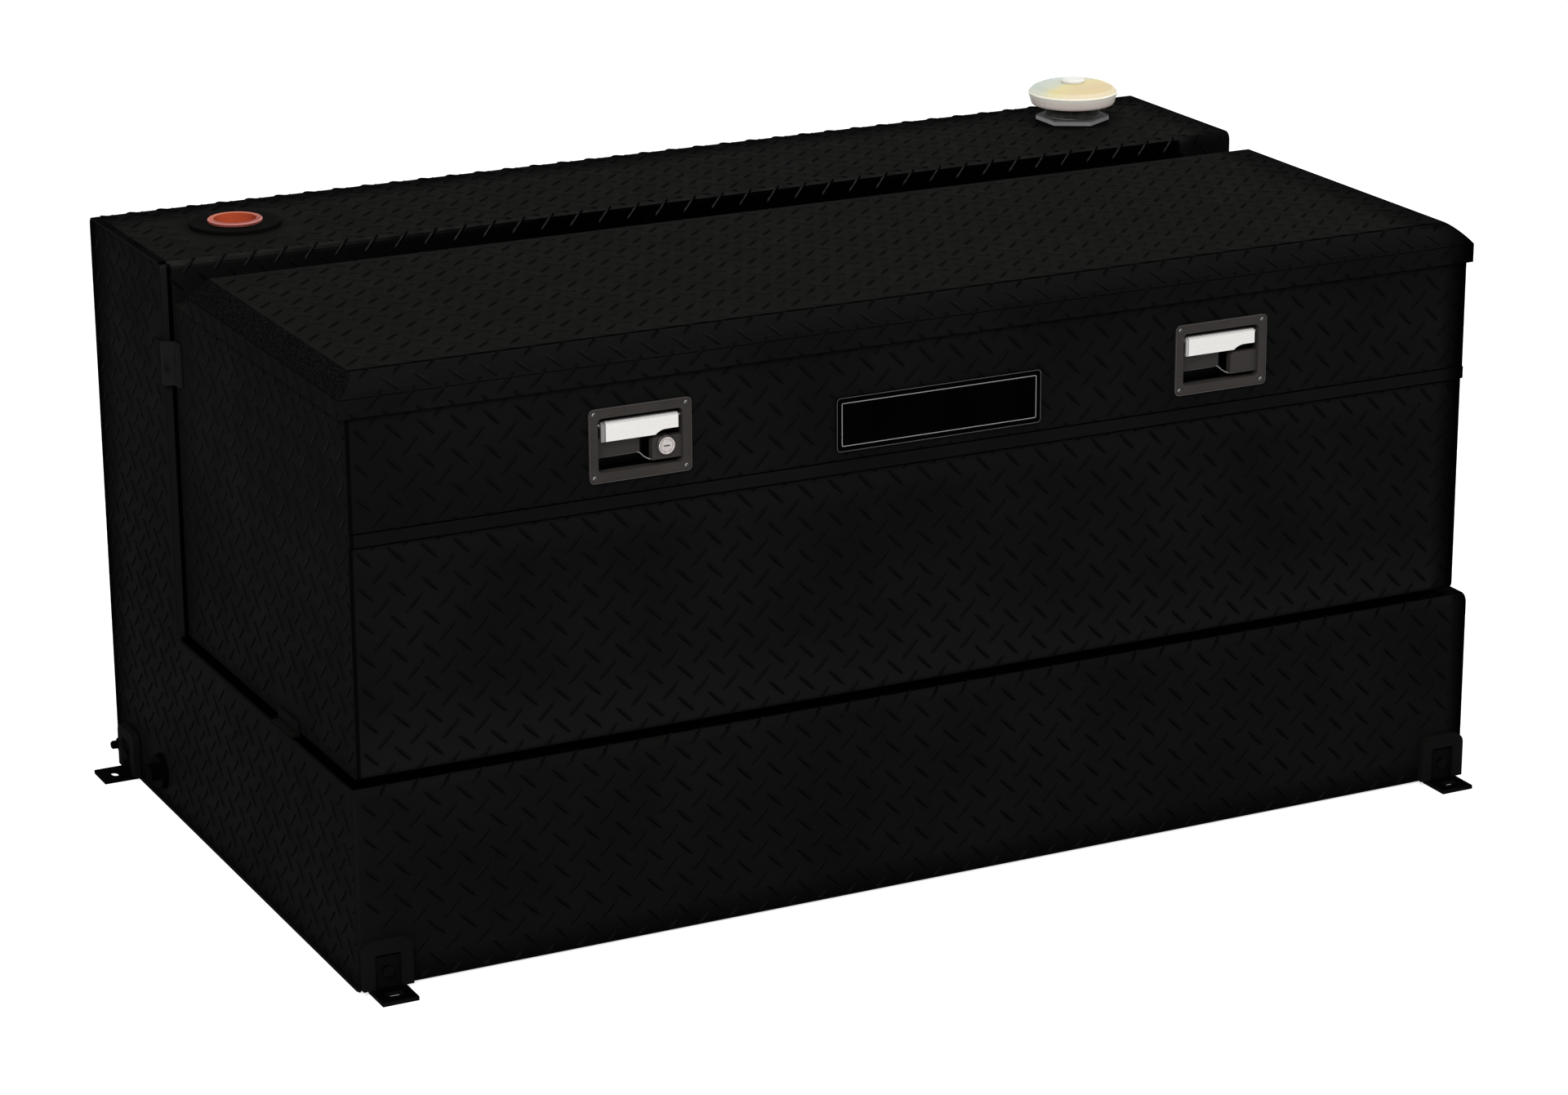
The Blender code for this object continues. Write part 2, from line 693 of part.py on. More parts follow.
def bolt_height():
    """The foot bolt's height, midway up the clear part of the leg."""
    return FOOT_SHEET + (POCKET_HEIGHT - POCKET_LEG) / 2


def feet():
    """Four pockets, four feet and the four bolts that hold them."""
    for name, place in foot_places():
        foot_pocket("foot_pocket_" + name, place)
        tie_down_foot("tie_down_foot_" + name, place)
        seat = -2 * GAP - FOOT_SHEET
        head = polygon_ring(6, BOLT_HEAD_RADIUS, 12)
        rings = [
            (circle(BOLT_RADIUS, 12), -2 * GAP),
            (circle(BOLT_RADIUS, 12), seat),
            (head, seat),
            (head, seat - BOLT_HEAD_HEIGHT),
        ]
        loops = [[place @ Vector((u, y, bolt_height() + v)) for u, v in ring] for ring, y in rings]
        loft("foot_bolt_" + name, loops, bright_steel)


def box_body():
    """Lower front, floor and back of the toolbox, folded from one sheet."""
    back_top = DECK_TOP - BOX_SHEET - GAP
    path = [
        (LOWER_PANEL_FACE, SEAM_BOTTOM + PANEL_LAP),
        (LOWER_PANEL_FACE, BOX_BOTTOM),
        (BOX_BACK, BOX_BOTTOM),
        (BOX_BACK, back_top),
    ]
    extrude_x("box_body", bent_sheet(path, BOX_SHEET, BOX_BEND_RADIUS), BOX_LEFT, BOX_RIGHT, black_sheet)


def box_ends():
    """End sheets welded inside the folded body, cut down behind the lid to clear the deck."""
    front_low = LOWER_PANEL_FACE + BOX_SHEET + GAP
    front_high = BOX_FRONT + BOX_SHEET + GAP
    floor = BOX_BOTTOM + BOX_SHEET + GAP
    lap = SEAM_BOTTOM + PANEL_LAP + GAP
    under_deck = DECK_TOP - BOX_SHEET - GAP
    deck_front = DECK_FRONT - GAP
    back = BOX_BACK - BOX_SHEET - GAP
    corner = BOX_BEND_RADIUS + GAP
    outline = rounded(
        [
            (front_low, floor),
            (back, floor),
            (back, under_deck),
            (deck_front, under_deck),
            (deck_front, RIM_TOP),
            (front_high, RIM_TOP),
            (front_high, lap),
            (front_low, lap),
        ],
        [corner, corner, 0, 0, 0, 0, 0, 0],
        3,
    )
    face = BOX_LEFT + END_RECESS / 3
    extrude_x("box_end_left", outline, face, face + BOX_SHEET, black_sheet)
    extrude_x("box_end_right", outline, -face - BOX_SHEET, -face, black_sheet)


def upper_front_panel():
    """The upper front sheet with its folded hem and an opening for each latch."""
    hem_top = SEAM_BOTTOM + HEM_HEIGHT
    face, back = BOX_FRONT, BOX_FRONT + BOX_SHEET
    hem = BOX_FRONT - HEM_PROUD
    chamfer = HEM_PROUD / 2
    outline = [
        (hem + chamfer, SEAM_BOTTOM),
        (back, SEAM_BOTTOM),
        (back, RIM_TOP),
        (face, RIM_TOP),
        (face, hem_top),
        (hem, hem_top - chamfer),
        (hem, SEAM_BOTTOM + chamfer),
    ]
    panel = extrude_x("upper_front_panel", outline, BOX_LEFT, BOX_RIGHT, black_sheet)
    margin = 2 * (LATCH_WALL + GAP)
    hole = rounded_rectangle(
        LATCH_OPENING_WIDTH + margin, LATCH_OPENING_HEIGHT + margin, LATCH_OPENING_CORNER + margin / 2
    )
    for name, x in latch_places():
        reach = 3 * BOX_SHEET
        loops = [[Vector((x + u, y, LATCH_Z + v)) for u, v in hole] for y in (BOX_FRONT - reach, BOX_FRONT + reach)]
        cut(panel, loft("latch_hole_" + name, loops, None))


def rear_deck():
    """The rail behind the lid: a rim under the lid, a flat deck for the hinge, and a flange down the back."""
    front = DECK_FRONT
    inner = BOX_BACK - BOX_SHEET - GAP
    flat = DECK_TOP - BOX_SHEET
    outline = [
        (front, flat),
        (inner - BOX_SHEET, flat),
        (inner - BOX_SHEET, flat - DECK_FLANGE),
        (inner, flat - DECK_FLANGE),
        (inner, flat),
        (BOX_BACK, flat),
        (BOX_BACK, DECK_TOP),
        (front + BOX_SHEET, DECK_TOP),
        (front + BOX_SHEET, RIM_TOP),
        (front, RIM_TOP),
    ]
    deck = extrude_x("rear_deck", outline, BOX_LEFT, BOX_RIGHT, black_sheet)
    notch = bmesh.new()
    reach = 3 * BOX_SHEET
    for side in (-1, 1):
        edge = side * (BOX_RIGHT - END_RECESS / 3 - BOX_SHEET - GAP)
        low, high = sorted((edge, side * (BOX_RIGHT + reach)))
        block("", (low, front - reach, flat - DECK_FLANGE - reach), (high, BOX_BACK + reach, flat), None, notch)
    cut(deck, finish_object("deck_flange_ends", notch, None))


def isolators():
    """Rubber strips between the tank's shelf and the toolbox floor."""
    low = FRONT + ISOLATOR_MARGIN
    high = BOX_BACK - BOX_BEND_RADIUS - BOX_SHEET - GAP
    middle = BOX_RIGHT - ISOLATOR_MARGIN - ISOLATOR_WIDTH / 2
    half = ISOLATOR_WIDTH / 2
    for name, x in (("left", -middle), ("middle", 0.0), ("right", middle)):
        near, far = (x - half, low, BASE_HEIGHT + GAP), (x + half, high, BOX_BOTTOM - GAP)
        block("isolator_strip_" + name, near, far, rubber)


def tie_straps():
    """Joggled straps over the seam between column and toolbox, one on each end."""
    middle = LID_TOP - STRAP_DROP
    low, high = middle - STRAP_WIDTH / 2, middle + STRAP_WIDTH / 2
    seat, step = LEFT - GAP, BOX_LEFT - GAP
    bend = COLUMN_FRONT - STRAP_SHEET
    outline = [
        (step, BOX_BACK - STRAP_REACH),
        (step, bend - STRAP_SHEET),
        (seat, bend + GAP),
        (seat, COLUMN_FRONT + STRAP_REACH),
        (seat - STRAP_SHEET, COLUMN_FRONT + STRAP_REACH),
        (seat - STRAP_SHEET, bend - STRAP_SHEET / 2),
        (step - STRAP_SHEET, bend - 2 * STRAP_SHEET),
        (step - STRAP_SHEET, BOX_BACK - STRAP_REACH),
    ]
    for name, side in (("left", 1), ("right", -1)):
        loops = [[Vector((side * x, y, z)) for x, y in outline] for z in (low, high)]
        loft("tie_strap_" + name, loops, black_steel)


def box_tabs():
    """Small angle tabs on the shelf that stop the toolbox from sliding along it."""
    foot, wall = BASE_HEIGHT + GAP, BOX_LEFT - GAP
    ledge = LEFT + TAB_SHEET / 2
    outline = [
        (ledge, foot),
        (wall, foot),
        (wall, foot + TAB_LEG),
        (wall - TAB_SHEET, foot + TAB_LEG),
        (wall - TAB_SHEET, foot + TAB_SHEET),
        (ledge, foot + TAB_SHEET),
    ]
    start = FRONT + TAB_FROM_FRONT
    for name, side in (("left", 1), ("right", -1)):
        loops = [[Vector((side * x, y, z)) for x, z in outline] for y in (start, start + TAB_LENGTH)]
        loft("box_tab_" + name, loops, black_steel)


def weather_seal():
    """A rubber strip along the toolbox rim, under the lid."""
    inset = END_RECESS / 3 + SEAL_OFFSET
    left, right = BOX_LEFT + inset, BOX_RIGHT - inset
    front = BOX_FRONT + SEAL_OFFSET
    back = DECK_FRONT + BOX_SHEET - SEAL_OFFSET
    low, high = RIM_TOP + GAP, RIM_TOP + GAP + SEAL_HEIGHT
    chamfer = SEAL_WIDTH / 4

    def ring(inset_by, z):
        corners = ((left, front), (right, front), (right, back), (left, back))
        shifts = ((1, 1), (-1, 1), (-1, -1), (1, -1))
        return [Vector((x + i * inset_by, y + j * inset_by, z)) for (x, y), (i, j) in zip(corners, shifts)]

    loops = [
        ring(0, low),
        ring(0, high - chamfer),
        ring(chamfer, high),
        ring(SEAL_WIDTH - chamfer, high),
        ring(SEAL_WIDTH, high - chamfer),
        ring(SEAL_WIDTH, low),
    ]
    loft("weather_seal", loops, rubber, cyclic=True)


def lid_rings(inset):
    """Rings of the lid's skin from the skirt's edge to the flat top: bull nose in front, plain bevels elsewhere."""
    rings = []
    top = LID_TOP - inset
    shoulder = SKIRT_TOP - inset * 0.4

    def ring(front, ends, back, z):
        low = Vector((LID_LEFT + ends, LID_FRONT + front, z))
        high = Vector((LID_RIGHT - ends, LID_BACK - back, z))
        return [Vector((x, y, z)) for x, y in ((low.x, low.y), (high.x, low.y), (high.x, high.y), (low.x, high.y))]

    rings.append(ring(inset, inset, inset, SKIRT_BOTTOM))
    for i in range(NOSE_STEPS + 1):
        turn = math.pi / 2 * i / NOSE_STEPS
        rise = math.sin(turn)
        nose = inset + (LID_NOSE - inset * 0.4) * (1 - math.cos(turn))
        ends = inset + (LID_END_BEVEL - inset * 0.6) * rise
        back = inset + (LID_REAR_BEVEL - inset * 0.6) * rise
        rings.append(ring(nose, ends, back, shoulder + (top - shoulder) * rise))
    return rings


def lid_pan():
    """The lid: one pressed pan with a bull-nosed front, bevelled ends and back, and a skirt all round."""
    mesh_data = bmesh.new()
    outer, inner = lid_rings(0.0), lid_rings(LID_SHEET)
    loft("", outer + inner[::-1], None, mesh_data=mesh_data)
    bmesh.ops.delete(mesh_data, geom=lid_bridge_faces(mesh_data), context="FACES_ONLY")
    close_lid(mesh_data)
    finish_object("lid_pan", mesh_data, black_sheet)


def lid_bridge_faces(mesh_data):
    """The faces that the loft drew between the outer and the inner top, and its two end caps."""
    doomed = []
    for face in mesh_data.faces:
        levels = {round(v.co.z, 6) for v in face.verts}
        spans_skin = {round(LID_TOP, 6), round(LID_UNDERSIDE, 6)} == levels
        at_skirt = levels == {round(SKIRT_BOTTOM, 6)}
        if spans_skin or at_skirt:
            doomed.append(face)
    return doomed


def close_lid(mesh_data):
    """Puts on the flat top, the ceiling inside it, and the skirt's edge."""
    for level in (LID_TOP, LID_UNDERSIDE):
        edges = [e for e in mesh_data.edges if e.is_boundary and all(abs(v.co.z - level) < 1e-6 for v in e.verts)]
        bmesh.ops.contextual_create(mesh_data, geom=edges)
    edges = [e for e in mesh_data.edges if e.is_boundary and all(abs(v.co.z - SKIRT_BOTTOM) < 1e-6 for v in e.verts)]
    bmesh.ops.bridge_loops(mesh_data, edges=edges)


def lid_rails():
    """Hat-section stiffeners welded under the lid, crown down."""
    front_rail = LID_FRONT + FRONT_RAIL_FROM_FRONT
    rear_rail = LID_BACK - REAR_RAIL_FROM_BACK - RAIL_CROWN
    for name, near in (("lid_rail_front", front_rail), ("lid_rail_rear", rear_rail)):
        far = near + RAIL_CROWN
        high = LID_UNDERSIDE - GAP
        low = high - RAIL_HEIGHT
        path = [(near - RAIL_FLANGE, high), (near, high), (near, low), (far, low), (far, high), (far + RAIL_FLANGE, high)]
        left, right = LID_LEFT + RAIL_END_MARGIN, LID_RIGHT - RAIL_END_MARGIN
        extrude_x(name, hat_outline(path), left, right, black_steel)


def hat_outline(path):
    """A hat section's outline: flanges hang below their path, and the crown's sheet is inside its corners."""
    t = RAIL_SHEET
    (a, high), (b, _), (_, low), (c, _), _, (d, _) = path
    return [
        (a, high),
        (b + t, high),
        (b + t, low + t),
        (c - t, low + t),
        (c - t, high),
        (d, high),
        (d, high - t),
        (c, high - t),
        (c, low),
        (b, low),
        (b, high - t),
        (a, high - t),
    ]


def hinge():
    """A piano hinge: two knuckled leaves and a long pin."""
    left, right = LID_LEFT + HINGE_END_MARGIN, LID_RIGHT - HINGE_END_MARGIN
    pitch = (right - left) / KNUCKLE_COUNT
    lid_leaf = hinge_leaf("hinge_leaf_lid", left, right, lid_side=True)
    box_leaf = hinge_leaf("hinge_leaf_box", left, right, lid_side=False)
    reach = KNUCKLE_RADIUS + KNUCKLE_GAP
    slots = {0: bmesh.new(), 1: bmesh.new()}
    for i in range(KNUCKLE_COUNT):
        start, end = left + i * pitch - KNUCKLE_GAP / 2, left + (i + 1) * pitch + KNUCKLE_GAP / 2
        low = (start, HINGE_Y - reach, HINGE_Z - reach)
        high = (end, HINGE_Y + reach, HINGE_Z + reach)
        block("", low, high, None, slots[i % 2])
    cut(lid_leaf, finish_object("lid_leaf_slots", slots[0], None))
    cut(box_leaf, finish_object("box_leaf_slots", slots[1], None))
    bore = [(HINGE_PIN_RADIUS + GAP, left - reach), (HINGE_PIN_RADIUS + GAP, right + reach)]
    spot = (0, HINGE_Y, HINGE_Z)
    for leaf in (lid_leaf, box_leaf):
        cut(leaf, turned(leaf.name + "_bore", bore, spot, None, "X", steps=8))
    turned("hinge_pin", [(HINGE_PIN_RADIUS, left), (HINGE_PIN_RADIUS, right)], spot, bright_steel, "X", steps=8)


def hinge_leaf(name, left, right, lid_side):
    """One leaf's full-length section: a flat strip that rolls into the knuckle."""
    r, t = KNUCKLE_RADIUS, KNUCKLE_SHEET
    barrel = []
    steps = 12
    for k in range(1, steps):
        turn = math.pi / 2 + 2 * math.pi * k / steps
        barrel.append((turn, (r * math.cos(turn), r * math.sin(turn))))
    if lid_side:
        tall = SKIRT_TOP - HINGE_Z - GAP
        points = [(-r + t, tall), (-r, tall)]
        points += [p for turn, p in barrel if math.pi <= turn + 1e-6]
        points += [(0.0, r), (-r + t, math.sqrt(r * r - (r - t) ** 2))]
    else:
        wide = HINGE_LEAF_WIDTH
        points = [(0.0, -r), (wide, -r), (wide, -r + t), (math.sqrt(r * r - (r - t) ** 2), -r + t)]
        points += [
            (r * math.cos(turn), r * math.sin(turn))
            for turn in (2 * math.pi * k / steps for k in range(0, 3 * steps // 4))
        ]
    outline = [(HINGE_Y + y, HINGE_Z + z) for y, z in points]
    return extrude_x(name, outline, left, right, black_steel)


def latch_places():
    return [("left", -LATCH_SPACING / 2), ("right", LATCH_SPACING / 2)]


def latch_pan(name, x):
    """A pressed dish with a flat bezel, a ledge behind the paddle and a block at the right for a lock."""
    w, h, c = LATCH_OPENING_WIDTH, LATCH_OPENING_HEIGHT, LATCH_OPENING_CORNER
    wall = 2 * LATCH_WALL
    bezel = rounded_rectangle(BEZEL_WIDTH, BEZEL_HEIGHT, BEZEL_CORNER)
    mouth = rounded_rectangle(w, h, c)
    outside = rounded_rectangle(w + wall, h + wall, c + LATCH_WALL)
    flange_back = BEZEL_FRONT + BEZEL_THICKNESS
    soft = BEZEL_THICKNESS / 4
    bezel_edge = rounded_rectangle(BEZEL_WIDTH - 2 * soft, BEZEL_HEIGHT - 2 * soft, BEZEL_CORNER - soft)
    sections = [
        (outside, PAN_BACK + LATCH_WALL),
        (outside, flange_back),
        (bezel, flange_back),
        (bezel, BEZEL_FRONT + soft),
        (bezel_edge, BEZEL_FRONT),
        (mouth, BEZEL_FRONT),
        (mouth, PAN_BACK),
    ]
    loops = [[Vector((x + u, y, LATCH_Z + v)) for u, v in shape] for shape, y in sections]
    pan = loft("latch_pan_" + name, loops, bezel_finish)
    sink = LATCH_WALL / 2
    bottom, left, right = LATCH_Z - h / 2, x - w / 2, x + w / 2
    face, high = BEZEL_FRONT + LOCK_BLOCK_SET_BACK, bottom + LOCK_BLOCK_HEIGHT
    near, far = right - LOCK_BLOCK_WIDTH, right + sink
    low = bottom + LOCK_BLOCK_LIFT
    outline = rounded([(near, low), (far, low), (far, high), (near, high)], [0, 0, 0, c])
    loops = [[Vector((u, y, v)) for u, v in outline] for y in (face, PAN_BACK + sink)]
    cut(pan, loft("lock_block_" + name, loops, None), "UNION")
    ledge_low = (left - sink, BEZEL_FRONT + LEDGE_SET_BACK, bottom + LEDGE_BOTTOM)
    ledge_high = (left + LEDGE_WIDTH, PAN_BACK + sink, bottom + LEDGE_BOTTOM + PADDLE_HEIGHT)
    cut(pan, block("ledge_" + name, ledge_low, ledge_high, None), "UNION")
    return pan


def lock_place():
    """The key cylinder's centre in the left latch."""
    x = -LATCH_SPACING / 2 + LATCH_OPENING_WIDTH / 2 - LOCK_FROM_SIDE
    return x, LATCH_Z - LATCH_OPENING_HEIGHT / 2 + LOCK_FROM_BOTTOM


def key_cylinder(pan):
    """The plug of the lock, in a bore through its block, with a key slot across its face."""
    x, z = lock_place()
    face = BEZEL_FRONT + PADDLE_SET_BACK
    end = PAN_BACK - GAP
    bore = [(LOCK_RADIUS + GAP, BEZEL_FRONT), (LOCK_RADIUS + GAP, PAN_BACK)]
    cut(pan, turned("lock_bore", bore, (x, 0, z), None, "Y", steps=24))
    soft = LOCK_RADIUS / 12
    rings = [(LOCK_RADIUS - soft, face), (LOCK_RADIUS, face + soft), (LOCK_RADIUS, end)]
    plug = turned("key_cylinder", rings, (x, 0, z), bright_steel, "Y", steps=24)
    half, depth = KEY_SLOT / 2, KEY_SLOT / 3
    low = (x - half, face - depth, z - half / 6)
    high = (x + half, face + depth, z + half / 6)
    cut(plug, block("key_slot", low, high, None))


def paddle_pin_place():
    """The paddle pivot, as distances behind the bezel's front and below the opening's top."""
    y = BEZEL_FRONT + PADDLE_SET_BACK + PADDLE_BOSS * 0.62
    z = LATCH_Z + LATCH_OPENING_HEIGHT / 2 - PADDLE_TOP_GAP - PADDLE_SHEET
    return y, z


def paddle(name, x):
    """The pull plate on its pin, with a finger lip and a corner cut away round the lock."""
    front = BEZEL_FRONT + PADDLE_SET_BACK
    top = LATCH_Z + LATCH_OPENING_HEIGHT / 2 - PADDLE_TOP_GAP
    low = top - PADDLE_HEIGHT
    sheet, boss = PADDLE_SHEET, PADDLE_BOSS
    curl = sheet * 2 / 3
    outline = [
        (front, low),
        (front + PADDLE_LIP, low),
        (front + PADDLE_LIP, low + sheet / 2),
        (front + sheet, low + sheet / 2),
        (front + sheet, top - 2 * sheet),
        (front + boss, top - 2 * sheet),
        (front + boss, top - curl / 2),
        (front + boss - curl / 2, top),
        (front + curl, top),
        (front, top - curl),
    ]
    half = LATCH_OPENING_WIDTH / 2 - PADDLE_SIDE_GAP
    plate = extrude_x("paddle_" + name, outline, x - half, x + half, bright_steel)
    lock_x = x + LATCH_OPENING_WIDTH / 2 - LOCK_FROM_SIDE
    lock_z = LATCH_Z - LATCH_OPENING_HEIGHT / 2 + LOCK_FROM_BOTTOM
    radius = LOCK_RADIUS + LOCK_CLEARANCE
    reach = 2 * boss
    rings = [(radius, front - reach), (radius, front + reach)]
    cut(plate, turned("paddle_relief_" + name, rings, (lock_x, 0, lock_z), None, "Y"))
    corner_low = (lock_x, front - reach, lock_z)
    corner_high = (x + half + reach, front + reach, lock_z + radius)
    cut(plate, block("paddle_corner_" + name, corner_low, corner_high, None))
    y, z = paddle_pin_place()
    bore = [(PADDLE_PIN_RADIUS + GAP, x - half - reach), (PADDLE_PIN_RADIUS + GAP, x + half + reach)]
    cut(plate, turned("paddle_bore_" + name, bore, (0, y, z), None, "X", steps=12))
    end = LATCH_OPENING_WIDTH / 2 - GAP
    pin = [(PADDLE_PIN_RADIUS, x - end), (PADDLE_PIN_RADIUS, x + end)]
    turned("paddle_pin_" + name, pin, (0, y, z), bright_steel, "X", steps=12)


def latch_works(name, x):
    """The closed latch case behind the pan, its sliding bolt, and the keeper that hangs from the lid."""
    middle = LATCH_Z + LATCH_OPENING_HEIGHT / 2 - CASE_HEIGHT / 2
    half, tall = CASE_WIDTH / 2, CASE_HEIGHT / 2
    case = block(
        "latch_case_" + name,
        (x - half, CASE_FRONT, middle - tall),
        (x + half, CASE_BACK, middle + tall),
        black_steel,
    )
    bar, thick = BOLT_BAR_WIDTH / 2, BOLT_BAR_HEIGHT / 2
    tip = CASE_BACK + BOLT_BAR_PROUD
    heel = tip - BOLT_BAR_LENGTH
    pocket_low = (x - bar - GAP, CASE_FRONT + LATCH_WALL, middle - thick - GAP)
    pocket_high = (x + bar + GAP, CASE_BACK + LATCH_WALL, middle + thick + GAP)
    cut(case, block("bolt_pocket_" + name, pocket_low, pocket_high, None))
    slope = thick
    outline = [
        (heel, middle - thick),
        (tip, middle - thick),
        (tip, middle),
        (tip - slope, middle + thick),
        (heel, middle + thick),
    ]
    extrude_x("latch_bolt_" + name, outline, x - bar, x + bar, bright_steel)
    top = LID_UNDERSIDE - GAP - RAIL_HEIGHT - GAP
    sill = middle - thick - KEEPER_WINDOW_CLEARANCE
    bottom = sill - KEEPER_BAR
    reach, sheet = KEEPER_FLANGE, KEEPER_SHEET
    bracket = [
        (KEEPER_Y, bottom),
        (KEEPER_Y + sheet, bottom),
        (KEEPER_Y + sheet, top - sheet),
        (KEEPER_Y + reach, top - sheet),
        (KEEPER_Y + reach, top),
        (KEEPER_Y, top),
    ]
    wide = KEEPER_WIDTH / 2
    keeper = extrude_x("keeper_" + name, bracket, x - wide, x + wide, black_steel)
    low = (x - bar - 2 * KEEPER_WINDOW_CLEARANCE, KEEPER_Y - sheet, sill)
    high = (x + bar + 2 * KEEPER_WINDOW_CLEARANCE, KEEPER_Y + 2 * sheet, middle + 2 * thick)
    cut(keeper, block("keeper_window_" + name, low, high, None))


def latches():
    """Two paddle latches, with a key cylinder in the left one."""
    for name, x in latch_places():
        pan = latch_pan(name, x)
        if name == "left":
            key_cylinder(pan)
        paddle(name, x)
        latch_works(name, x)


def blank_plate():
    """A plain raised-rim plate riveted between the latches."""
    middle = LID_TOP - PLATE_DROP
    outer = rounded_rectangle(PLATE_WIDTH, PLATE_HEIGHT, PLATE_CORNER)
    back = BOX_FRONT - GAP
    soft = PLATE_THICKNESS / 4
    face = rounded_rectangle(PLATE_WIDTH - 2 * soft, PLATE_HEIGHT - 2 * soft, PLATE_CORNER - soft)
    sections = [(outer, back), (outer, back - PLATE_THICKNESS + soft), (face, back - PLATE_THICKNESS)]
    loops = [[Vector((u, y, middle + v)) for u, v in shape] for shape, y in sections]
    loft("blank_plate", loops, black_steel)


def build():
    for thing in list(bpy.data.objects):
        bpy.data.objects.remove(thing, do_unlink=True)
    tank_wrap()
    tank_ends()
    baffles()
    fill_neck()
    fill_cap()
    pump_bung()
    end_fittings()
    feet()
    box_body()
    box_ends()
    upper_front_panel()
    rear_deck()
    isolators()
    tie_straps()
    box_tabs()
    weather_seal()
    lid_pan()
    lid_rails()
    hinge()
    latches()
    blank_plate()


build()
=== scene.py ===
# Looks for the truck bed transfer tank: tread sheet, latches, filler cap, plug, feet, studio.
import json
import math

import bmesh
import bpy
import numpy as np
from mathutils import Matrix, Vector


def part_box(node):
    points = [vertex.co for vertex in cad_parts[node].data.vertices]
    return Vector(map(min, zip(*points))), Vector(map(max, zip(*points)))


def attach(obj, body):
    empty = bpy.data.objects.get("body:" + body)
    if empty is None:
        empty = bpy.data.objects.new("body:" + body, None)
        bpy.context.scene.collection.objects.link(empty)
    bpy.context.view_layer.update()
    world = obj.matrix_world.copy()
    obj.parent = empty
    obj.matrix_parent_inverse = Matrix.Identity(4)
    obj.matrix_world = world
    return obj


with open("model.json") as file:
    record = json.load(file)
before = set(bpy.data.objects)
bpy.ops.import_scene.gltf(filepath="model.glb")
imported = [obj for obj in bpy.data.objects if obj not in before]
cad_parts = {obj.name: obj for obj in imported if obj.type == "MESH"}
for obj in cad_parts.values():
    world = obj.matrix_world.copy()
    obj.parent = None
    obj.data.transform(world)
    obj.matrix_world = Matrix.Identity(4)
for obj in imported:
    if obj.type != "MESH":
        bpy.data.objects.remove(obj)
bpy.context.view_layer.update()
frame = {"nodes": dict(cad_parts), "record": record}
nodes = frame["nodes"]
scene = bpy.context.scene
print("frame loaded:", len(nodes), "nodes")


def deselect():
    if bpy.context.object and bpy.context.object.mode != "OBJECT":
        bpy.ops.object.mode_set(mode="OBJECT")
    bpy.ops.object.select_all(action="DESELECT")


def pick(piece):
    deselect()
    piece.select_set(True)
    bpy.context.view_layer.objects.active = piece


def settle(piece, name):
    # place goes into the mesh, the object back to the origin
    pick(piece)
    bpy.ops.object.transform_apply(location=True, rotation=True, scale=True)
    piece.name = name
    piece.data.name = name
    return piece


def copyOf(piece, name):
    twin = piece.copy()
    twin.data = piece.data.copy()
    twin.name = name
    twin.data.name = name
    scene.collection.objects.link(twin)
    return twin


def joined(pieces, name):
    deselect()
    for piece in pieces:
        piece.select_set(True)
    bpy.context.view_layer.objects.active = pieces[0]
    bpy.ops.object.join()
    result = bpy.context.object
    result.name = name
    result.data.name = name
    return result


def applyAll(piece):
    pick(piece)
    for modifier in list(piece.modifiers):
        bpy.ops.object.modifier_apply(modifier=modifier.name)


def smooth(piece, degrees):
    pick(piece)
    bpy.ops.object.shade_smooth_by_angle(angle=math.radians(degrees))


def openMesh(piece):
    pick(piece)
    bpy.ops.object.mode_set(mode="EDIT")
    bpy.ops.mesh.select_all(action="SELECT")


def closeMesh():
    # faces turned outwards, then back to the object
    bpy.ops.mesh.select_all(action="SELECT")
    bpy.ops.mesh.normals_make_consistent(inside=False)
    bpy.ops.object.mode_set(mode="OBJECT")


def flatDisc(sides, radius, level=0):
    deselect()
    bpy.ops.mesh.primitive_circle_add(vertices=sides, radius=radius, fill_type="NGON", location=(0, 0, level))
    return bpy.context.object


def cutterBox(low, high):
    # a cube primitive stretched between two corners
    bpy.ops.mesh.primitive_cube_add(size=1, location=[(a + b) / 2 for a, b in zip(low, high)])
    block = bpy.context.object
    block.scale = [b - a for a, b in zip(low, high)]
    return settle(block, "cutter")


def cutAway(piece, cutters):
    for cutter in cutters:
        trim = piece.modifiers.new("trim", "BOOLEAN")
        trim.operation = "DIFFERENCE"
        trim.solver = "EXACT"
        trim.object = cutter
    applyAll(piece)
    for cutter in cutters:
        bpy.data.objects.remove(cutter)


def finish(name, colour, roughness, metallic, specular):
    made = bpy.data.materials.new(name)
    made.use_nodes = True
    shader = made.node_tree.nodes["Principled BSDF"]
    shader.inputs["Base Color"].default_value = (*colour, 1)
    shader.inputs["Roughness"].default_value = roughness
    shader.inputs["Metallic"].default_value = metallic
    shader.inputs["Specular IOR Level"].default_value = specular
    made.diffuse_color = (*colour, 1)
    return made, made.node_tree, shader


def newNode(tree, kind):
    return tree.nodes.new("ShaderNode" + kind)


def noise(tree, scale, detail=4.0, rough=0.55, stretch=None):
    # noise on the piece's own coordinates, optionally stretched along an axis
    where = newNode(tree, "TexCoord")
    mapping = newNode(tree, "Mapping")
    if stretch:
        mapping.inputs["Scale"].default_value = stretch
    tree.links.new(where.outputs["Object"], mapping.inputs["Vector"])
    cloud = newNode(tree, "TexNoise")
    cloud.inputs["Scale"].default_value = scale
    cloud.inputs["Detail"].default_value = detail
    cloud.inputs["Roughness"].default_value = rough
    tree.links.new(mapping.outputs["Vector"], cloud.inputs["Vector"])
    return cloud.outputs["Fac"]


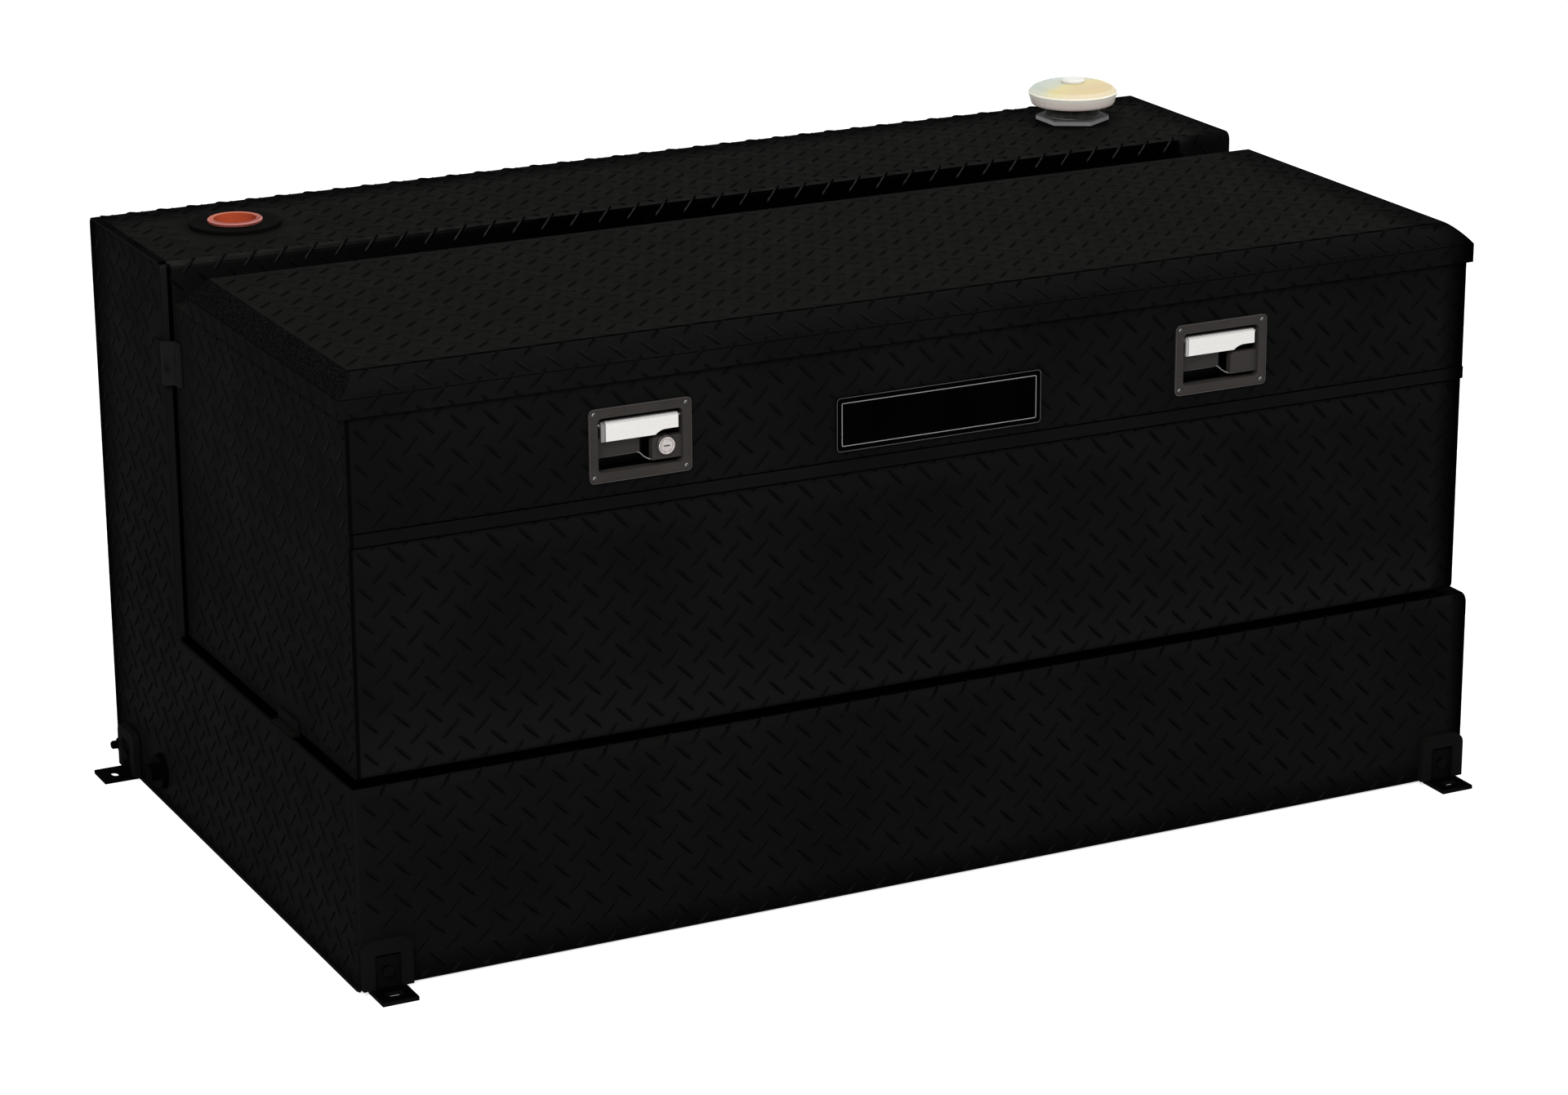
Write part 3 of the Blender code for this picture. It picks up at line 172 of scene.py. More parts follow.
def ramp(tree, value, stops):
    # value through a colour ramp with (position, colour) stops
    node = newNode(tree, "ValToRGB")
    elements = node.color_ramp.elements
    for end, (position, colour) in ((elements[0], stops[0]), (elements[1], stops[-1])):
        end.position = position
        end.color = (*colour, 1)
    for position, colour in stops[1:-1]:
        elements.new(position).color = (*colour, 1)
    tree.links.new(value, node.inputs["Fac"])
    return node.outputs["Color"]


def spread(tree, value, low, high, fromLow=0.35, fromHigh=0.65):
    # a number remapped to a range
    node = newNode(tree, "MapRange")
    ranges = {"From Min": fromLow, "From Max": fromHigh, "To Min": low, "To Max": high}
    for socket, level in ranges.items():
        node.inputs[socket].default_value = level
    tree.links.new(value, node.inputs["Value"])
    return node.outputs["Result"]


def blendColours(tree, factor, first, second):
    node = newNode(tree, "Mix")
    node.data_type = "RGBA"
    tree.links.new(factor, node.inputs[0])
    for socket, colour in ((node.inputs[6], first), (node.inputs[7], second)):
        if isinstance(colour, tuple):
            socket.default_value = (*colour, 1)
        else:
            tree.links.new(colour, socket)
    return node.outputs[2]


def paint(tree, shader, colour):
    tree.links.new(colour, shader.inputs["Base Color"])


def roughen(tree, shader, cloud, low, high):
    tree.links.new(spread(tree, cloud, low, high), shader.inputs["Roughness"])


def bump(tree, shader, height, strength, distance):
    node = newNode(tree, "Bump")
    node.inputs["Strength"].default_value = strength
    node.inputs["Distance"].default_value = distance
    tree.links.new(height, node.inputs["Height"])
    tree.links.new(node.outputs["Normal"], shader.inputs["Normal"])


def axisOf(tree, key):
    # one component of the piece's own coordinates ("Z") or of the way that a face looks ("lookZ")
    where = newNode(tree, "TexCoord")
    split = newNode(tree, "SeparateXYZ")
    output = "Normal" if key.startswith("look") else "Object"
    tree.links.new(where.outputs[output], split.inputs["Vector"])
    return split.outputs[key[-1]]


def mathOf(tree, operation, first, second=0.0):
    node = newNode(tree, "Math")
    node.operation = operation
    for socket, value in ((node.inputs[0], first), (node.inputs[1], second)):
        if isinstance(value, float):
            socket.default_value = value
        else:
            tree.links.new(value, socket)
    return node.outputs[0]


def times(tree, first, second):
    return mathOf(tree, "MULTIPLY", first, second)


def sizeOf(tree, value):
    return mathOf(tree, "ABSOLUTE", value)


def share(tree, value, none, full):
    return spread(tree, value, 0.0, 1.0, none, full)


def mottle(tree, *settings):
    return spread(tree, noise(tree, *settings), 0.0, 1.0)


def within(tree, limits):
    # 1 where every limit is met; each fades in from its first value to its second
    total = None
    for key, none, full in limits:
        met = share(tree, axisOf(tree, key), none, full)
        total = met if total is None else times(tree, total, met)
    return total


def reachFrom(tree, centre):
    # distance from an upright axis
    dx, dy = [mathOf(tree, "SUBTRACT", axisOf(tree, key), at) for key, at in zip("XY", centre)]
    return mathOf(tree, "SQRT", mathOf(tree, "ADD", times(tree, dx, dx), times(tree, dy, dy)))


def even(level):
    return (level, level, level)


def grey(level):
    # a little warm
    return (level, level, level * 0.98)


# a mark is a tone with its limits: a place along an axis ("Z") or the way that a face looks ("lookZ")
facesFront = ("lookY", -0.5, -0.9)
aboveShelf = ("Z", 0.2035, 0.2045)
# painted light and shade on the tread sheet: painted light below the hem and low on the box's front; painted
# shadow lines on and under the hem, in the trough, along the column top's left end and at the box's corner;
# painted shade on the back and at the base's foot; a painted highlight on the base's corner; painted light
# with a painted shadow line in the recess at the column's left end
sheetMarks = {
    "hemLight": (0.0066, [facesFront, ("Z", 0.396, 0.4255), ("Z", 0.4280, 0.4276)]),
    "hemTopShadow": (0.0005, [
        ("lookZ", 0.4, 0.7), ("Z", 0.4385, 0.4398), ("Z", 0.4430, 0.4415), ("Y", -0.330, -0.334),
    ]),
    "hemShadowLine": (0.0003, [
        ("Y", -0.3345, -0.3335), facesFront, ("Z", 0.4248, 0.4262), ("Z", 0.4300, 0.4285),
    ]),
    "rearShade": (0.0003, [("Y", 0.282, 0.346), ("lookY", 0.6, 0.3)]),
    "trough": (0.0004, [
        ("lookY", -0.50, -0.80), ("Z", 0.546, 0.549), ("X", 0.5480, 0.5450), ("Y", 0.10, 0.127),
        ("X", -0.62, -0.20),
    ]),
    "endShadowBand": (0.0004, [("X", -0.6005, -0.6020), ("lookZ", 0.5, 0.8), ("Z", 0.580, 0.584)]),
    "baseFootShade": (0.0016, [facesFront, ("Y", -0.340, -0.344), ("Z", 0.030, 0.002)]),
    "boxLight": (0.0078, [facesFront, ("Y", -0.328, -0.332), ("Z", 0.275, 0.206), aboveShelf]),
    "boxCornerShadow": (0.0018, [
        ("X", -0.5946, -0.5960), ("lookY", -0.3, -0.6), ("Y", -0.31, -0.33), aboveShelf,
    ]),
    "baseCornerHighlight": (0.0064, [
        ("X", -0.6052, -0.6064), facesFront, ("Y", -0.340, -0.344), ("Z", 0.198, 0.190),
    ]),
    "recess": (0.0090, [("lookY", -0.6, -0.9), ("X", -0.5975, -0.5990), ("Y", 0.126, 0.1275)]),
    "recessShadowLine": (0.0003, [
        ("lookY", -0.6, -0.9), ("X", -0.6034, -0.6024), ("X", -0.5975, -0.5990), ("Y", 0.126, 0.1275),
    ]),
}
# painted shadow along the line where the lid's top turns into its nose
lidMarks = {
    "noseCreaseShadow": (0.0004, [("lookZ", 0.90, 0.96), ("Y", -0.3162, -0.3152), ("Y", -0.3108, -0.3116)]),
}
strapMarks = {"wing": (0.0042, [("Y", 0.1275, 0.1300)])}
# painted shade on edges that fall away into the dark, on bars and sheets alike; shelf is the painted shadow
# line at the toolbox's foot
edgeShades = {
    "box": [("X", 0.570, 0.594), ("Y", -0.31, -0.33), ("Z", 0.5475, 0.5470), ("Z", 0.200, 0.2035)],
    "base": [("X", 0.590, 0.606), ("Y", -0.31, -0.336), ("Z", 0.2035, 0.200)],
    "lidTop": [("X", 0.530, 0.588), ("Z", 0.583, 0.585), ("Y", 0.0730, 0.0715)],
    "lidNose": [("X", 0.565, 0.600), ("Z", 0.5470, 0.5478), ("Z", 0.585, 0.583), ("Y", 0.0730, 0.0715)],
    "columnRight": [("X", 0.570, 0.606), ("Y", 0.118, 0.127), ("Z", 0.53, 0.55)],
    "columnBend": [("X", 0.540, 0.562), ("Y", 0.118, 0.127), ("Y", 0.138, 0.132), ("Z", 0.53, 0.55)],
    "columnBack": [("Y", 0.290, 0.345), ("Z", 0.581, 0.586)],
    "shelf": [
        ("Z", 0.1972, 0.1984), ("Z", 0.2035, 0.2020), ("Y", -0.3395, -0.3375), ("Y", 0.1300, 0.1285),
        ("X", -0.6075, -0.6060), ("X", 0.6075, 0.6060),
    ],
    "endFoot": [("X", -0.600, -0.607), ("Z", 0.026, -0.004)],
    "endBack": [("X", -0.600, -0.607), ("Y", 0.322, 0.346)],
}
edgeShadeTones = {"columnBend": 0.0030, "shelf": 0.0002, "endFoot": 0.0010, "endBack": 0.0012, "others": 0.0006}
footMarks = {"sole": (0.0009, [("lookZ", 0.4, 0.7)])}
fittingShade = {
    "spots": ((0.4905, 0.263), (-0.4905, 0.2425)),
    "reach": (0.043, 0.058),
    "tone": 0.0020,
}
powderCoat = {
    "face": even(0.0046),
    "paler": (0.0062, 0.0062, 0.0060),
    "dustAndTopLight": (0.0062, 0.0062, 0.0056),
    # painted highlight along the column's bends
    "edge": (0.0150, 0.0150, 0.0142),
    "roughness": (0.40, 0.54),
    "specular": 0.0005,
    "clouds": 6.0,
    "speck": 160.0,
    "grain": 900.0,
    "bendHighlightLean": (0.12, 0.42),
    "bendHighlightAbove": (0.53, 0.57),
    "noseGrain": (0.0016, 0.0076),
    "endBevel": 0.0052,
    "crease": 0.0006,
}


def shadeEdges(tree, body):
    for name, limits in edgeShades.items():
        tone = edgeShadeTones.get(name, edgeShadeTones["others"])
        body = blendColours(tree, within(tree, limits), body, grey(tone))
    return body


def makePowderCoat(name, lift=1.0, edges=False, bevels=False, creaseShadows=(), marks=()):
    c = powderCoat
    made, tree, shader = finish(name, c["face"], 0.5, 0.0, c["specular"])
    dark = tuple(v * lift for v in c["face"])
    paler = tuple(v * lift for v in c["paler"])
    body = blendColours(tree, mottle(tree, c["clouds"]), dark, paler)
    # upward faces lighter in specks: dusty specks, and painted light from above
    speck = spread(tree, noise(tree, c["speck"], 2.0), 0.55, 1.0)
    up = share(tree, axisOf(tree, "lookZ"), 0.75, 1.0)
    top = tuple(v * lift for v in c["dustAndTopLight"])
    body = blendColours(tree, times(tree, up, speck), body, top)
    if edges:
        # the coat is painted lighter along the column's bends, which run the length of the tank: a patchy
        # painted highlight
        lean = sizeOf(tree, times(tree, axisOf(tree, "lookY"), axisOf(tree, "lookZ")))
        patchy = spread(tree, noise(tree, 60.0), 0.3, 1.0)
        bendHighlight = times(tree, share(tree, lean, *c["bendHighlightLean"]), patchy)
        bendHighlight = times(tree, bendHighlight, share(tree, axisOf(tree, "Z"), *c["bendHighlightAbove"]))
        body = blendColours(tree, bendHighlight, body, c["edge"])
    if bevels:
        # the pressed nose and end bevels of the lid are painted darker than its top, painted shade where they
        # turn from the light, with a coarser grain
        rise = sizeOf(tree, axisOf(tree, "lookZ"))
        leaning = times(tree, share(tree, rise, 0.15, 0.35), spread(tree, rise, 1.0, 0.0, 0.985, 0.999))
        fine = share(tree, noise(tree, 400.0, 2.0), 0.42, 0.70)
        grained = blendColours(tree, fine, *[grey(v) for v in c["noseGrain"]])
        sideways = share(tree, sizeOf(tree, axisOf(tree, "lookX")), 0.3, 0.6)
        nose = blendColours(tree, sideways, even(c["endBevel"]), grained)
        body = blendColours(tree, leaning, body, nose)
    for z, half in creaseShadows:
        # painted shadow: a dark line where the sheet is creased
        away = sizeOf(tree, mathOf(tree, "SUBTRACT", axisOf(tree, "Z"), z))
        line = spread(tree, away, 0.85, 0.0, half * 0.5, half)
        body = blendColours(tree, line, body, even(c["crease"]))
    for mark in marks:
        tone, limits = marks[mark]
        body = blendColours(tree, within(tree, limits), body, grey(tone))
    if edges:
        near, far = fittingShade["reach"]
        for spot in fittingShade["spots"]:
            shaded = spread(tree, reachFrom(tree, spot), 0.75, 0.0, near, far)
            body = blendColours(tree, times(tree, shaded, up), body, grey(fittingShade["tone"]))
    if marks:
        body = shadeEdges(tree, body)
    paint(tree, shader, body)
    roughen(tree, shader, noise(tree, 22.0), *c["roughness"])
    bump(tree, shader, noise(tree, c["grain"], 2.0), 0.25, 0.0002)
    return made


def makeSteel(name, colour, roughness, metallic, stretch, specular=0.3):
    made, tree, shader = finish(name, colour, roughness, metallic, specular)
    brushed = noise(tree, 300.0, 3.0, 0.6, stretch)
    roughen(tree, shader, brushed, roughness * 0.8, roughness * 1.25)
    darker = tuple(v * 0.9 for v in colour)
    paint(tree, shader, blendColours(tree, mottle(tree, 40.0), colour, darker))
    bump(tree, shader, brushed, 0.08, 0.0002)
    return made


barTones = {
    # painted light and shade on each bar: down slope, crown, up slope; on tops the slopes that face the back
    # and the front; on the ends the upper bars are painted lighter than the lower
    "falling": {
        "front": (0.0023, 0.0034, 0.0047),
        "endHigh": (0.0060, 0.0125, 0.0150),
        "endLow": (0.0034, 0.0050, 0.0070),
        "top": (0.0034, 0.0052, 0.0115),
        "glint": 0.0010,
        "glintFrom": ("X", -0.62, -0.20),
    },
    "rising": {
        "front": (0.0029, 0.0039, 0.0056),
        "endHigh": (0.0026, 0.0036, 0.0056),
        "endLow": (0.0012, 0.0022, 0.0040),
        "top": (0.0016, 0.0018, 0.0026),
        "glint": 0.0260,
        "glintFrom": ("X", -0.66, -0.30),
    },
    "stops": (0.15, 0.42, 0.58, 0.85),
    "flatFront": 0.0043,
    # painted shadow on the bars in the trough, with glint as their painted highlight
    "line": 0.0005,
    "speck": 0.0012,
}
troughBar = [("lookY", -0.2, -0.4), ("Z", 0.546, 0.549), ("Y", 0.10, 0.127), ("Y", 0.1380, 0.1365)]


def makeBarFinish(name, lean):
    # painted light and shade on the bars' relief: each slope is painted the lit or shaded tone that it has on
    # its sheet
    tones = barTones[lean]
    made, tree, shader = finish(name, grey(0.003), 0.5, 0.0, 0.0006)
    rise = axisOf(tree, "lookZ")

    def relief(slope, levels):
        down, crown, up = [grey(v) for v in levels]
        stops = list(zip(barTones["stops"], (down, crown, crown, up)))
        return ramp(tree, share(tree, slope, -0.35, 0.35), stops)

    sideways = share(tree, sizeOf(tree, axisOf(tree, "lookX")), 0.55, 0.75)
    height = share(tree, axisOf(tree, "Z"), 0.25, 0.45)
    ends = blendColours(tree, height, relief(rise, tones["endLow"]), relief(rise, tones["endHigh"]))
    flatter = spread(tree, axisOf(tree, "Z"), 0.0, 0.35, 0.200, 0.204)
    front = blendColours(tree, flatter, relief(rise, tones["front"]), grey(barTones["flatFront"]))
    body = blendColours(tree, sideways, front, ends)
    facing = times(tree, axisOf(tree, "lookY"), -1.0)
    body = blendColours(tree, share(tree, rise, 0.6, 0.8), body, relief(facing, tones["top"]))
    # in the trough the bars are painted dark, with a painted glint on the slopes that face left
    lit = share(tree, axisOf(tree, "lookX"), -0.10, -0.34)
    line = blendColours(tree, lit, grey(barTones["line"]), grey(tones["glint"]))
    body = blendColours(tree, within(tree, troughBar + [tones["glintFrom"]]), body, line)
    body = shadeEdges(tree, body)
    mottled = spread(tree, noise(tree, 240.0, 2.0), 0.0, 0.35)
    paint(tree, shader, blendColours(tree, mottled, body, grey(barTones["speck"])))
    roughen(tree, shader, noise(tree, 22.0), 0.4, 0.54)
    bump(tree, shader, noise(tree, 900.0, 2.0), 0.2, 0.0002)
    return made


treadFinish = makePowderCoat("blackTreadSheet", edges=True, marks=sheetMarks)
lidCreaseShadows = ((0.5668, 0.0006), (0.5485, 0.0005))
lidFinish = makePowderCoat("blackLidSheet", bevels=True, creaseShadows=lidCreaseShadows, marks=lidMarks)
fallingFinish = makeBarFinish("treadBarsFalling", "falling")
risingFinish = makeBarFinish("treadBarsRising", "rising")
strapFinish = makePowderCoat("strapGrey", 1.9, marks=strapMarks)
# the pump bung is painted darker than the sheet: painted shade round the plug
bungShadeFinish = makePowderCoat("bungShadedBlack", 0.55)
fittingFinish = makePowderCoat("blackFittings", 1.1)
footFinish = makePowderCoat("footBlack", 0.8, marks=footMarks)
# the drain fittings and bonding stud at the left rear foot are painted near black: painted shade
drainShadeFinish = makePowderCoat("drainShadedBlack", 0.2)
print("finishes made")


treadBar = {
    "length": 0.0255,
    "width": 0.0046,
    "height": 0.0011,
    "sink": 0.0002,
    "steps": ((0.62, 0.93, 0.62), (0.38, 0.86, 0.62 * 0.55)),
    "pitch": 0.0318,
}


def raiseFace(rise, along, across):
    bpy.ops.mesh.extrude_region_move(TRANSFORM_OT_translate={"value": (0, 0, rise)})
    bpy.ops.transform.resize(value=(along, across, 1))


def modelBar():
    # one lozenge bar: a ring pulled to a point at both ends, drawn up and in to a low crown
    b = treadBar
    bar = flatDisc(8, 1, -b["sink"])
    openMesh(bar)
    bpy.ops.transform.resize(value=(b["length"] / 2, b["width"] / 2, 1))
    sunk = b["sink"]
    for rise, along, across in b["steps"]:
        raiseFace(sunk + b["height"] * rise, along, across)
        sunk = 0
    closeMesh()
    return settle(bar, "treadBarPattern")


def modelCell(bar):
    # two bars at right angles, one at the cell's corner and one in its middle
    half = treadBar["pitch"] / 2
    falling = copyOf(bar, "barFalling")
    falling.rotation_euler = (0, 0, math.radians(-45))
    rising = copyOf(bar, "barRising")
    rising.rotation_euler = (0, 0, math.radians(45))
    rising.location = (half, half, 0)
    for twin, finishes in ((falling, fallingFinish), (rising, risingFinish)):
        twin.data.materials.clear()
        twin.data.materials.append(finishes)
    cell = joined([falling, rising], "treadCell")
    return settle(cell, "treadCell")


cellPattern = modelCell(modelBar())


class Run:
    # the line that a sheet follows in section, from straight and rounded stretches
    def __init__(self, points):
        self.points = [Vector(p) for p in points]
        self.lengths = [0.0]
        for a, b in zip(self.points, self.points[1:]):
            self.lengths.append(self.lengths[-1] + (b - a).length)
        self.total = self.lengths[-1]

    def at(self, s):
        s = min(max(s, 0.0), self.total)
        i = 0
        while i < len(self.points) - 2 and self.lengths[i + 1] < s:
            i += 1
        a, b = self.points[i], self.points[i + 1]
        t = (s - self.lengths[i]) / max(self.lengths[i + 1] - self.lengths[i], 1e-9)
        way = (b - a).normalized()
        return a.lerp(b, t), Vector((-way.y, way.x))


def arc(centre, radii, start, end, steps=8):
    turns = [math.radians(start + (end - start) * i / steps) for i in range(steps + 1)]
    return [(centre[0] + radii[0] * math.cos(a), centre[1] + radii[1] * math.sin(a)) for a in turns]


def layBars(name, width, length, phase, keep):
    # a flat field of bars over width x length, trimmed at its edges, with bars removed where keep says no
    pitch = treadBar["pitch"]
    field = copyOf(cellPattern, name)
    startX = width[0] - ((width[0] - phase[0]) % pitch) - pitch
    startY = length[0] - ((length[0] - phase[1]) % pitch) - pitch
    field.location = (startX, startY, 0)
    pick(field)
    bpy.ops.object.transform_apply(location=True, rotation=False, scale=False)
    for axis, (low, high) in enumerate((width, length)):
        rows = field.modifiers.new("rows", "ARRAY")
        rows.use_relative_offset = False
        rows.use_constant_offset = True
        rows.constant_offset_displace = (pitch if axis == 0 else 0, pitch if axis == 1 else 0, 0)
        rows.count = int((high - low) / pitch) + 3
    applyAll(field)
    bpy.ops.object.mode_set(mode="EDIT")
    for axis, (low, high) in enumerate((width, length)):
        for limit, side in ((low, -1), (high, 1)):
            spot = [0, 0, 0]
            spot[axis] = limit
            way = [0, 0, 0]
            way[axis] = side
            bpy.ops.mesh.select_all(action="SELECT")
            bpy.ops.mesh.bisect(plane_co=spot, plane_no=way, use_fill=True, clear_outer=True, threshold=1e-6)
    bpy.ops.object.mode_set(mode="OBJECT")
    if keep:
        mesh = bmesh.new()
        mesh.from_mesh(field.data)
        mesh.verts.ensure_lookup_table()
        seen = set()
        doomed = []
        for seed in mesh.verts:
            if seed.index in seen:
                continue
            island, stack = [], [seed]
            seen.add(seed.index)
            while stack:
                spot = stack.pop()
                island.append(spot)
                for edge in spot.link_edges:
                    other = edge.other_vert(spot)
                    if other.index not in seen:
                        seen.add(other.index)
                        stack.append(other)
            xs = [v.co.x for v in island]
            ys = [v.co.y for v in island]
            if not keep(min(xs), max(xs), min(ys), max(ys)):
                doomed += island
        bmesh.ops.delete(mesh, geom=doomed, context="VERTS")
        mesh.to_mesh(field.data)
        mesh.free()
    return field


def wrapBars(field, body, place):
    # moves each point of a flat field to its place on the sheet, then hands the field to the sheet's body
    count = len(field.data.vertices)
    spots = np.zeros(count * 3, np.float32)
    field.data.vertices.foreach_get("co", spots)
    moved = np.array([place(*p) for p in spots.reshape(-1, 3)], np.float32)
    field.data.vertices.foreach_set("co", moved.ravel())
    field.data.update()
    openMesh(field)
    closeMesh()
    smooth(field, 50)
    rides(field, body, None)


def bySection(run):
    # a field laid along X and up a section's run
    def place(x, s, h):
        spot, out = run.at(s)
        return x, spot.x + out.x * h, spot.y + out.y * h

    return place


def rides(piece, body, finishes):
    # without a finish the piece keeps the ones its faces already carry
    if finishes:
        piece.data.materials.clear()
        piece.data.materials.append(finishes)
    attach(piece, body)
    return piece


tankSheet = {
    "left": -0.6095,
    "right": 0.6095,
    "front": -0.345,
    "back": 0.345,
    "columnFront": 0.128,
    "shelf": 0.199,
    "top": 0.587,
    "bend": 0.008,
    "smoothEdge": 0.010,
    "foot": 0.006,
    "columnFoot": 0.549,
    "underBox": 0.0116,
    "phases": {"base": (-0.4993, 0.1425), "column": (-0.4993, 0.0172), "end": (0.01, 0.02)},
    "pockets": [(-0.583, 0.022, 0.0255, 0.0255), (0.583, 0.022, 0.0255, 0.0255)],
    "fittings": [(0.4905, 0.263, 0.042), (-0.4905, 0.2425, 0.048)],
    "endPatches": [(0.2975, 0.027, 0.0265, 0.0265), (0.137, 0.4866, 0.020, 0.024)],
    "drainPatches": [(0.205, 0.034, 0.020, 0.020), (0.331, 0.022, 0.009, 0.009)],
    "endSink": 0.0015,
    "endMargin": 0.005,
}


def clearOf(spots):
    # keeps a bar only where it misses every (x, y, half width, half height) patch
    def keep(x0, x1, y0, y1):
        for x, y, w, h in spots:
            if x1 > x - w and x0 < x + w and y1 > y - h and y0 < y + h:
                return False
        return True

    return keep


def dressTank():
    t = tankSheet
    r = t["bend"]
    wide = (t["left"] + t["smoothEdge"], t["right"] - t["smoothEdge"])
    base = Run(
        [(t["front"], t["foot"]), (t["front"], t["shelf"] - r)]
        + arc((t["front"] + r, t["shelf"] - r), (r, r), 180, 90)
        + [(t["front"] + t["underBox"], t["shelf"])]
    )
    phases = t["phases"]
    field = layBars("treadBaseFront", wide, (0, base.total), phases["base"], clearOf(t["pockets"]))
    wrapBars(field, "tank", bySection(base))
    column = Run(
        [(t["columnFront"], t["columnFoot"]), (t["columnFront"], t["top"] - r)]
        + arc((t["columnFront"] + r, t["top"] - r), (r, r), 180, 90)
        + arc((t["back"] - r, t["top"] - r), (r, r), 90, 0)
        + [(t["back"], t["foot"])]
    )
    # along the run, the top starts past the column's front and the bend
    toTop = t["top"] - r - t["columnFoot"] + math.pi * r / 2 - r - t["columnFront"]
    fittings = [(x, toTop + y, half, half) for x, y, half in t["fittings"]]
    field = layBars("treadColumn", wide, (0, column.total), phases["column"], clearOf(fittings))
    wrapBars(field, "tank", bySection(column))
    face = t["left"] + t["endSink"]
    deep = (t["front"] + t["endMargin"], t["back"] - t["endMargin"])
    high = (t["foot"], t["top"] - t["endMargin"])
    for side, name in ((-1, "treadEndLeft"), (1, "treadEndRight")):
        patches = t["endPatches"] + (t["drainPatches"] if side < 0 else [])

        def keep(y0, y1, z0, z1):
            if z1 > t["shelf"] - t["foot"] and y0 < t["columnFront"] + t["foot"]:
                return False
            return clearOf(patches)(y0, y1, z0, z1)

        field = layBars(name, deep, high, phases["end"], keep)
        wrapBars(field, "tank", lambda y, z, h, s=side: (s * (-face + h), y, z))
    print("tank dressed")


toolboxSheet = {
    "left": -0.5995,
    "front": -0.335,
    "lowerFace": -0.3327,
    "hem": (0.4276, 0.4406),
    "bottom": 0.204,
    "skirtBottom": 0.548,
    "deck": 0.546,
    "deckBack": 0.123,
    "deckBars": (0.093, 0.1225),
    "phases": {"upper": (-0.4903, 0.5), "lower": (-0.4903, 0.2240), "end": (0.0, 0.0), "deck": (-0.49, 0.1)},
    "margin": 0.008,
    "endTop": 0.5415,
    "endPatches": [(0.115, 0.4866, 0.016, 0.024), (-0.161, 0.2, 0.028, 0.020)],
    "latch": (0.312, 0.4895, 0.0530, 0.0365),
    "plate": (0.4755, 0.111, 0.0275),
}


def dressToolbox():
    t = toolboxSheet
    phases = t["phases"]
    wide = (t["left"] + t["margin"], -t["left"] - t["margin"])
    x, z, w, h = t["latch"]
    plateZ, plateW, plateH = t["plate"]
    high = (t["hem"][1] + 0.001, t["skirtBottom"] - 0.001)
    field = layBars("treadUpperFront", wide, high, phases["upper"], None)
    cutAway(field, [
        cutterBox((-x - w, z - h, -0.01), (-x + w, z + h, 0.01)),
        cutterBox((x - w, z - h, -0.01), (x + w, z + h, 0.01)),
        cutterBox((-plateW, plateZ - plateH, -0.01), (plateW, plateZ + plateH, 0.01)),
    ])
    wrapBars(field, "tank", lambda x, z, h: (x, t["front"] - h, z))
    high = (t["bottom"] + 0.003, t["hem"][0] - 0.003)
    field = layBars("treadLowerFront", wide, high, phases["lower"], None)
    wrapBars(field, "tank", lambda x, z, h: (x, t["lowerFace"] - h, z))
    face = -t["left"] - 0.0005
    deep = (t["front"] + 0.006, t["deckBack"] - 0.005)
    high = (t["bottom"] + 0.006, t["endTop"])
    for side, name in ((-1, "treadBoxEndLeft"), (1, "treadBoxEndRight")):
        field = layBars(name, deep, high, phases["end"], clearOf(t["endPatches"]))
        wrapBars(field, "tank", lambda y, z, h, s=side: (s * (face + h), y, z))
    field = layBars("treadDeck", wide, t["deckBars"], phases["deck"], None)
    wrapBars(field, "tank", lambda x, y, h: (x, y, t["deck"] + h))
    print("toolbox dressed")


lidSheet = {
    "left": -0.6055,
    "front": -0.338,
    "back": 0.067,
    "skirt": (0.548, 0.567),
    "top": 0.586,
    "nose": 0.026,
    "rearBevel": 0.0145,
    "endBevel": 0.0195,
    "riseOver": 0.030,
    "margin": 0.004,
    "phase": (-0.3656, -0.0022),
    "endPhase": 0.006,
}


def dressLid():
    t = lidSheet
    low, high = t["skirt"]
    nose = arc((t["front"] + t["nose"], high), (t["nose"], t["top"] - high), 180, 90, 12)
    run = Run(
        [(t["front"], low + 0.001), (t["front"], high)]
        + nose
        + [(t["back"] - t["rearBevel"], t["top"])]
    )
    shoulder = high - low - 0.001

    def keep(x0, x1, s0, s1):
        rise = min(max((s1 - shoulder) / t["riseOver"], 0.0), 1.0)
        limit = -t["left"] - 0.002 - t["endBevel"] * math.sin(rise * math.pi / 2)
        return x1 < limit and x0 > -limit

    m = t["margin"]
    wide = (t["left"] + m, -t["left"] - m)
    field = layBars("treadLid", wide, (0, run.total - 0.003), t["phase"], keep)
    wrapBars(field, "lid", bySection(run))
    deep = (t["front"] + m, t["back"] - m)
    phase = (t["endPhase"], low - t["endPhase"])
    for side, name in ((-1, "treadLidEndLeft"), (1, "treadLidEndRight")):
        field = layBars(name, deep, (low + 0.0015, high - 0.001), phase, None)
        wrapBars(field, "lid", lambda y, z, h, s=side: (s * (-t["left"] + h), y, z))
    print("lid dressed")


dressTank()
dressToolbox()
dressLid()
for pattern in ("treadCell", "treadBarPattern"):
    if pattern in bpy.data.objects:
        bpy.data.objects.remove(bpy.data.objects[pattern])


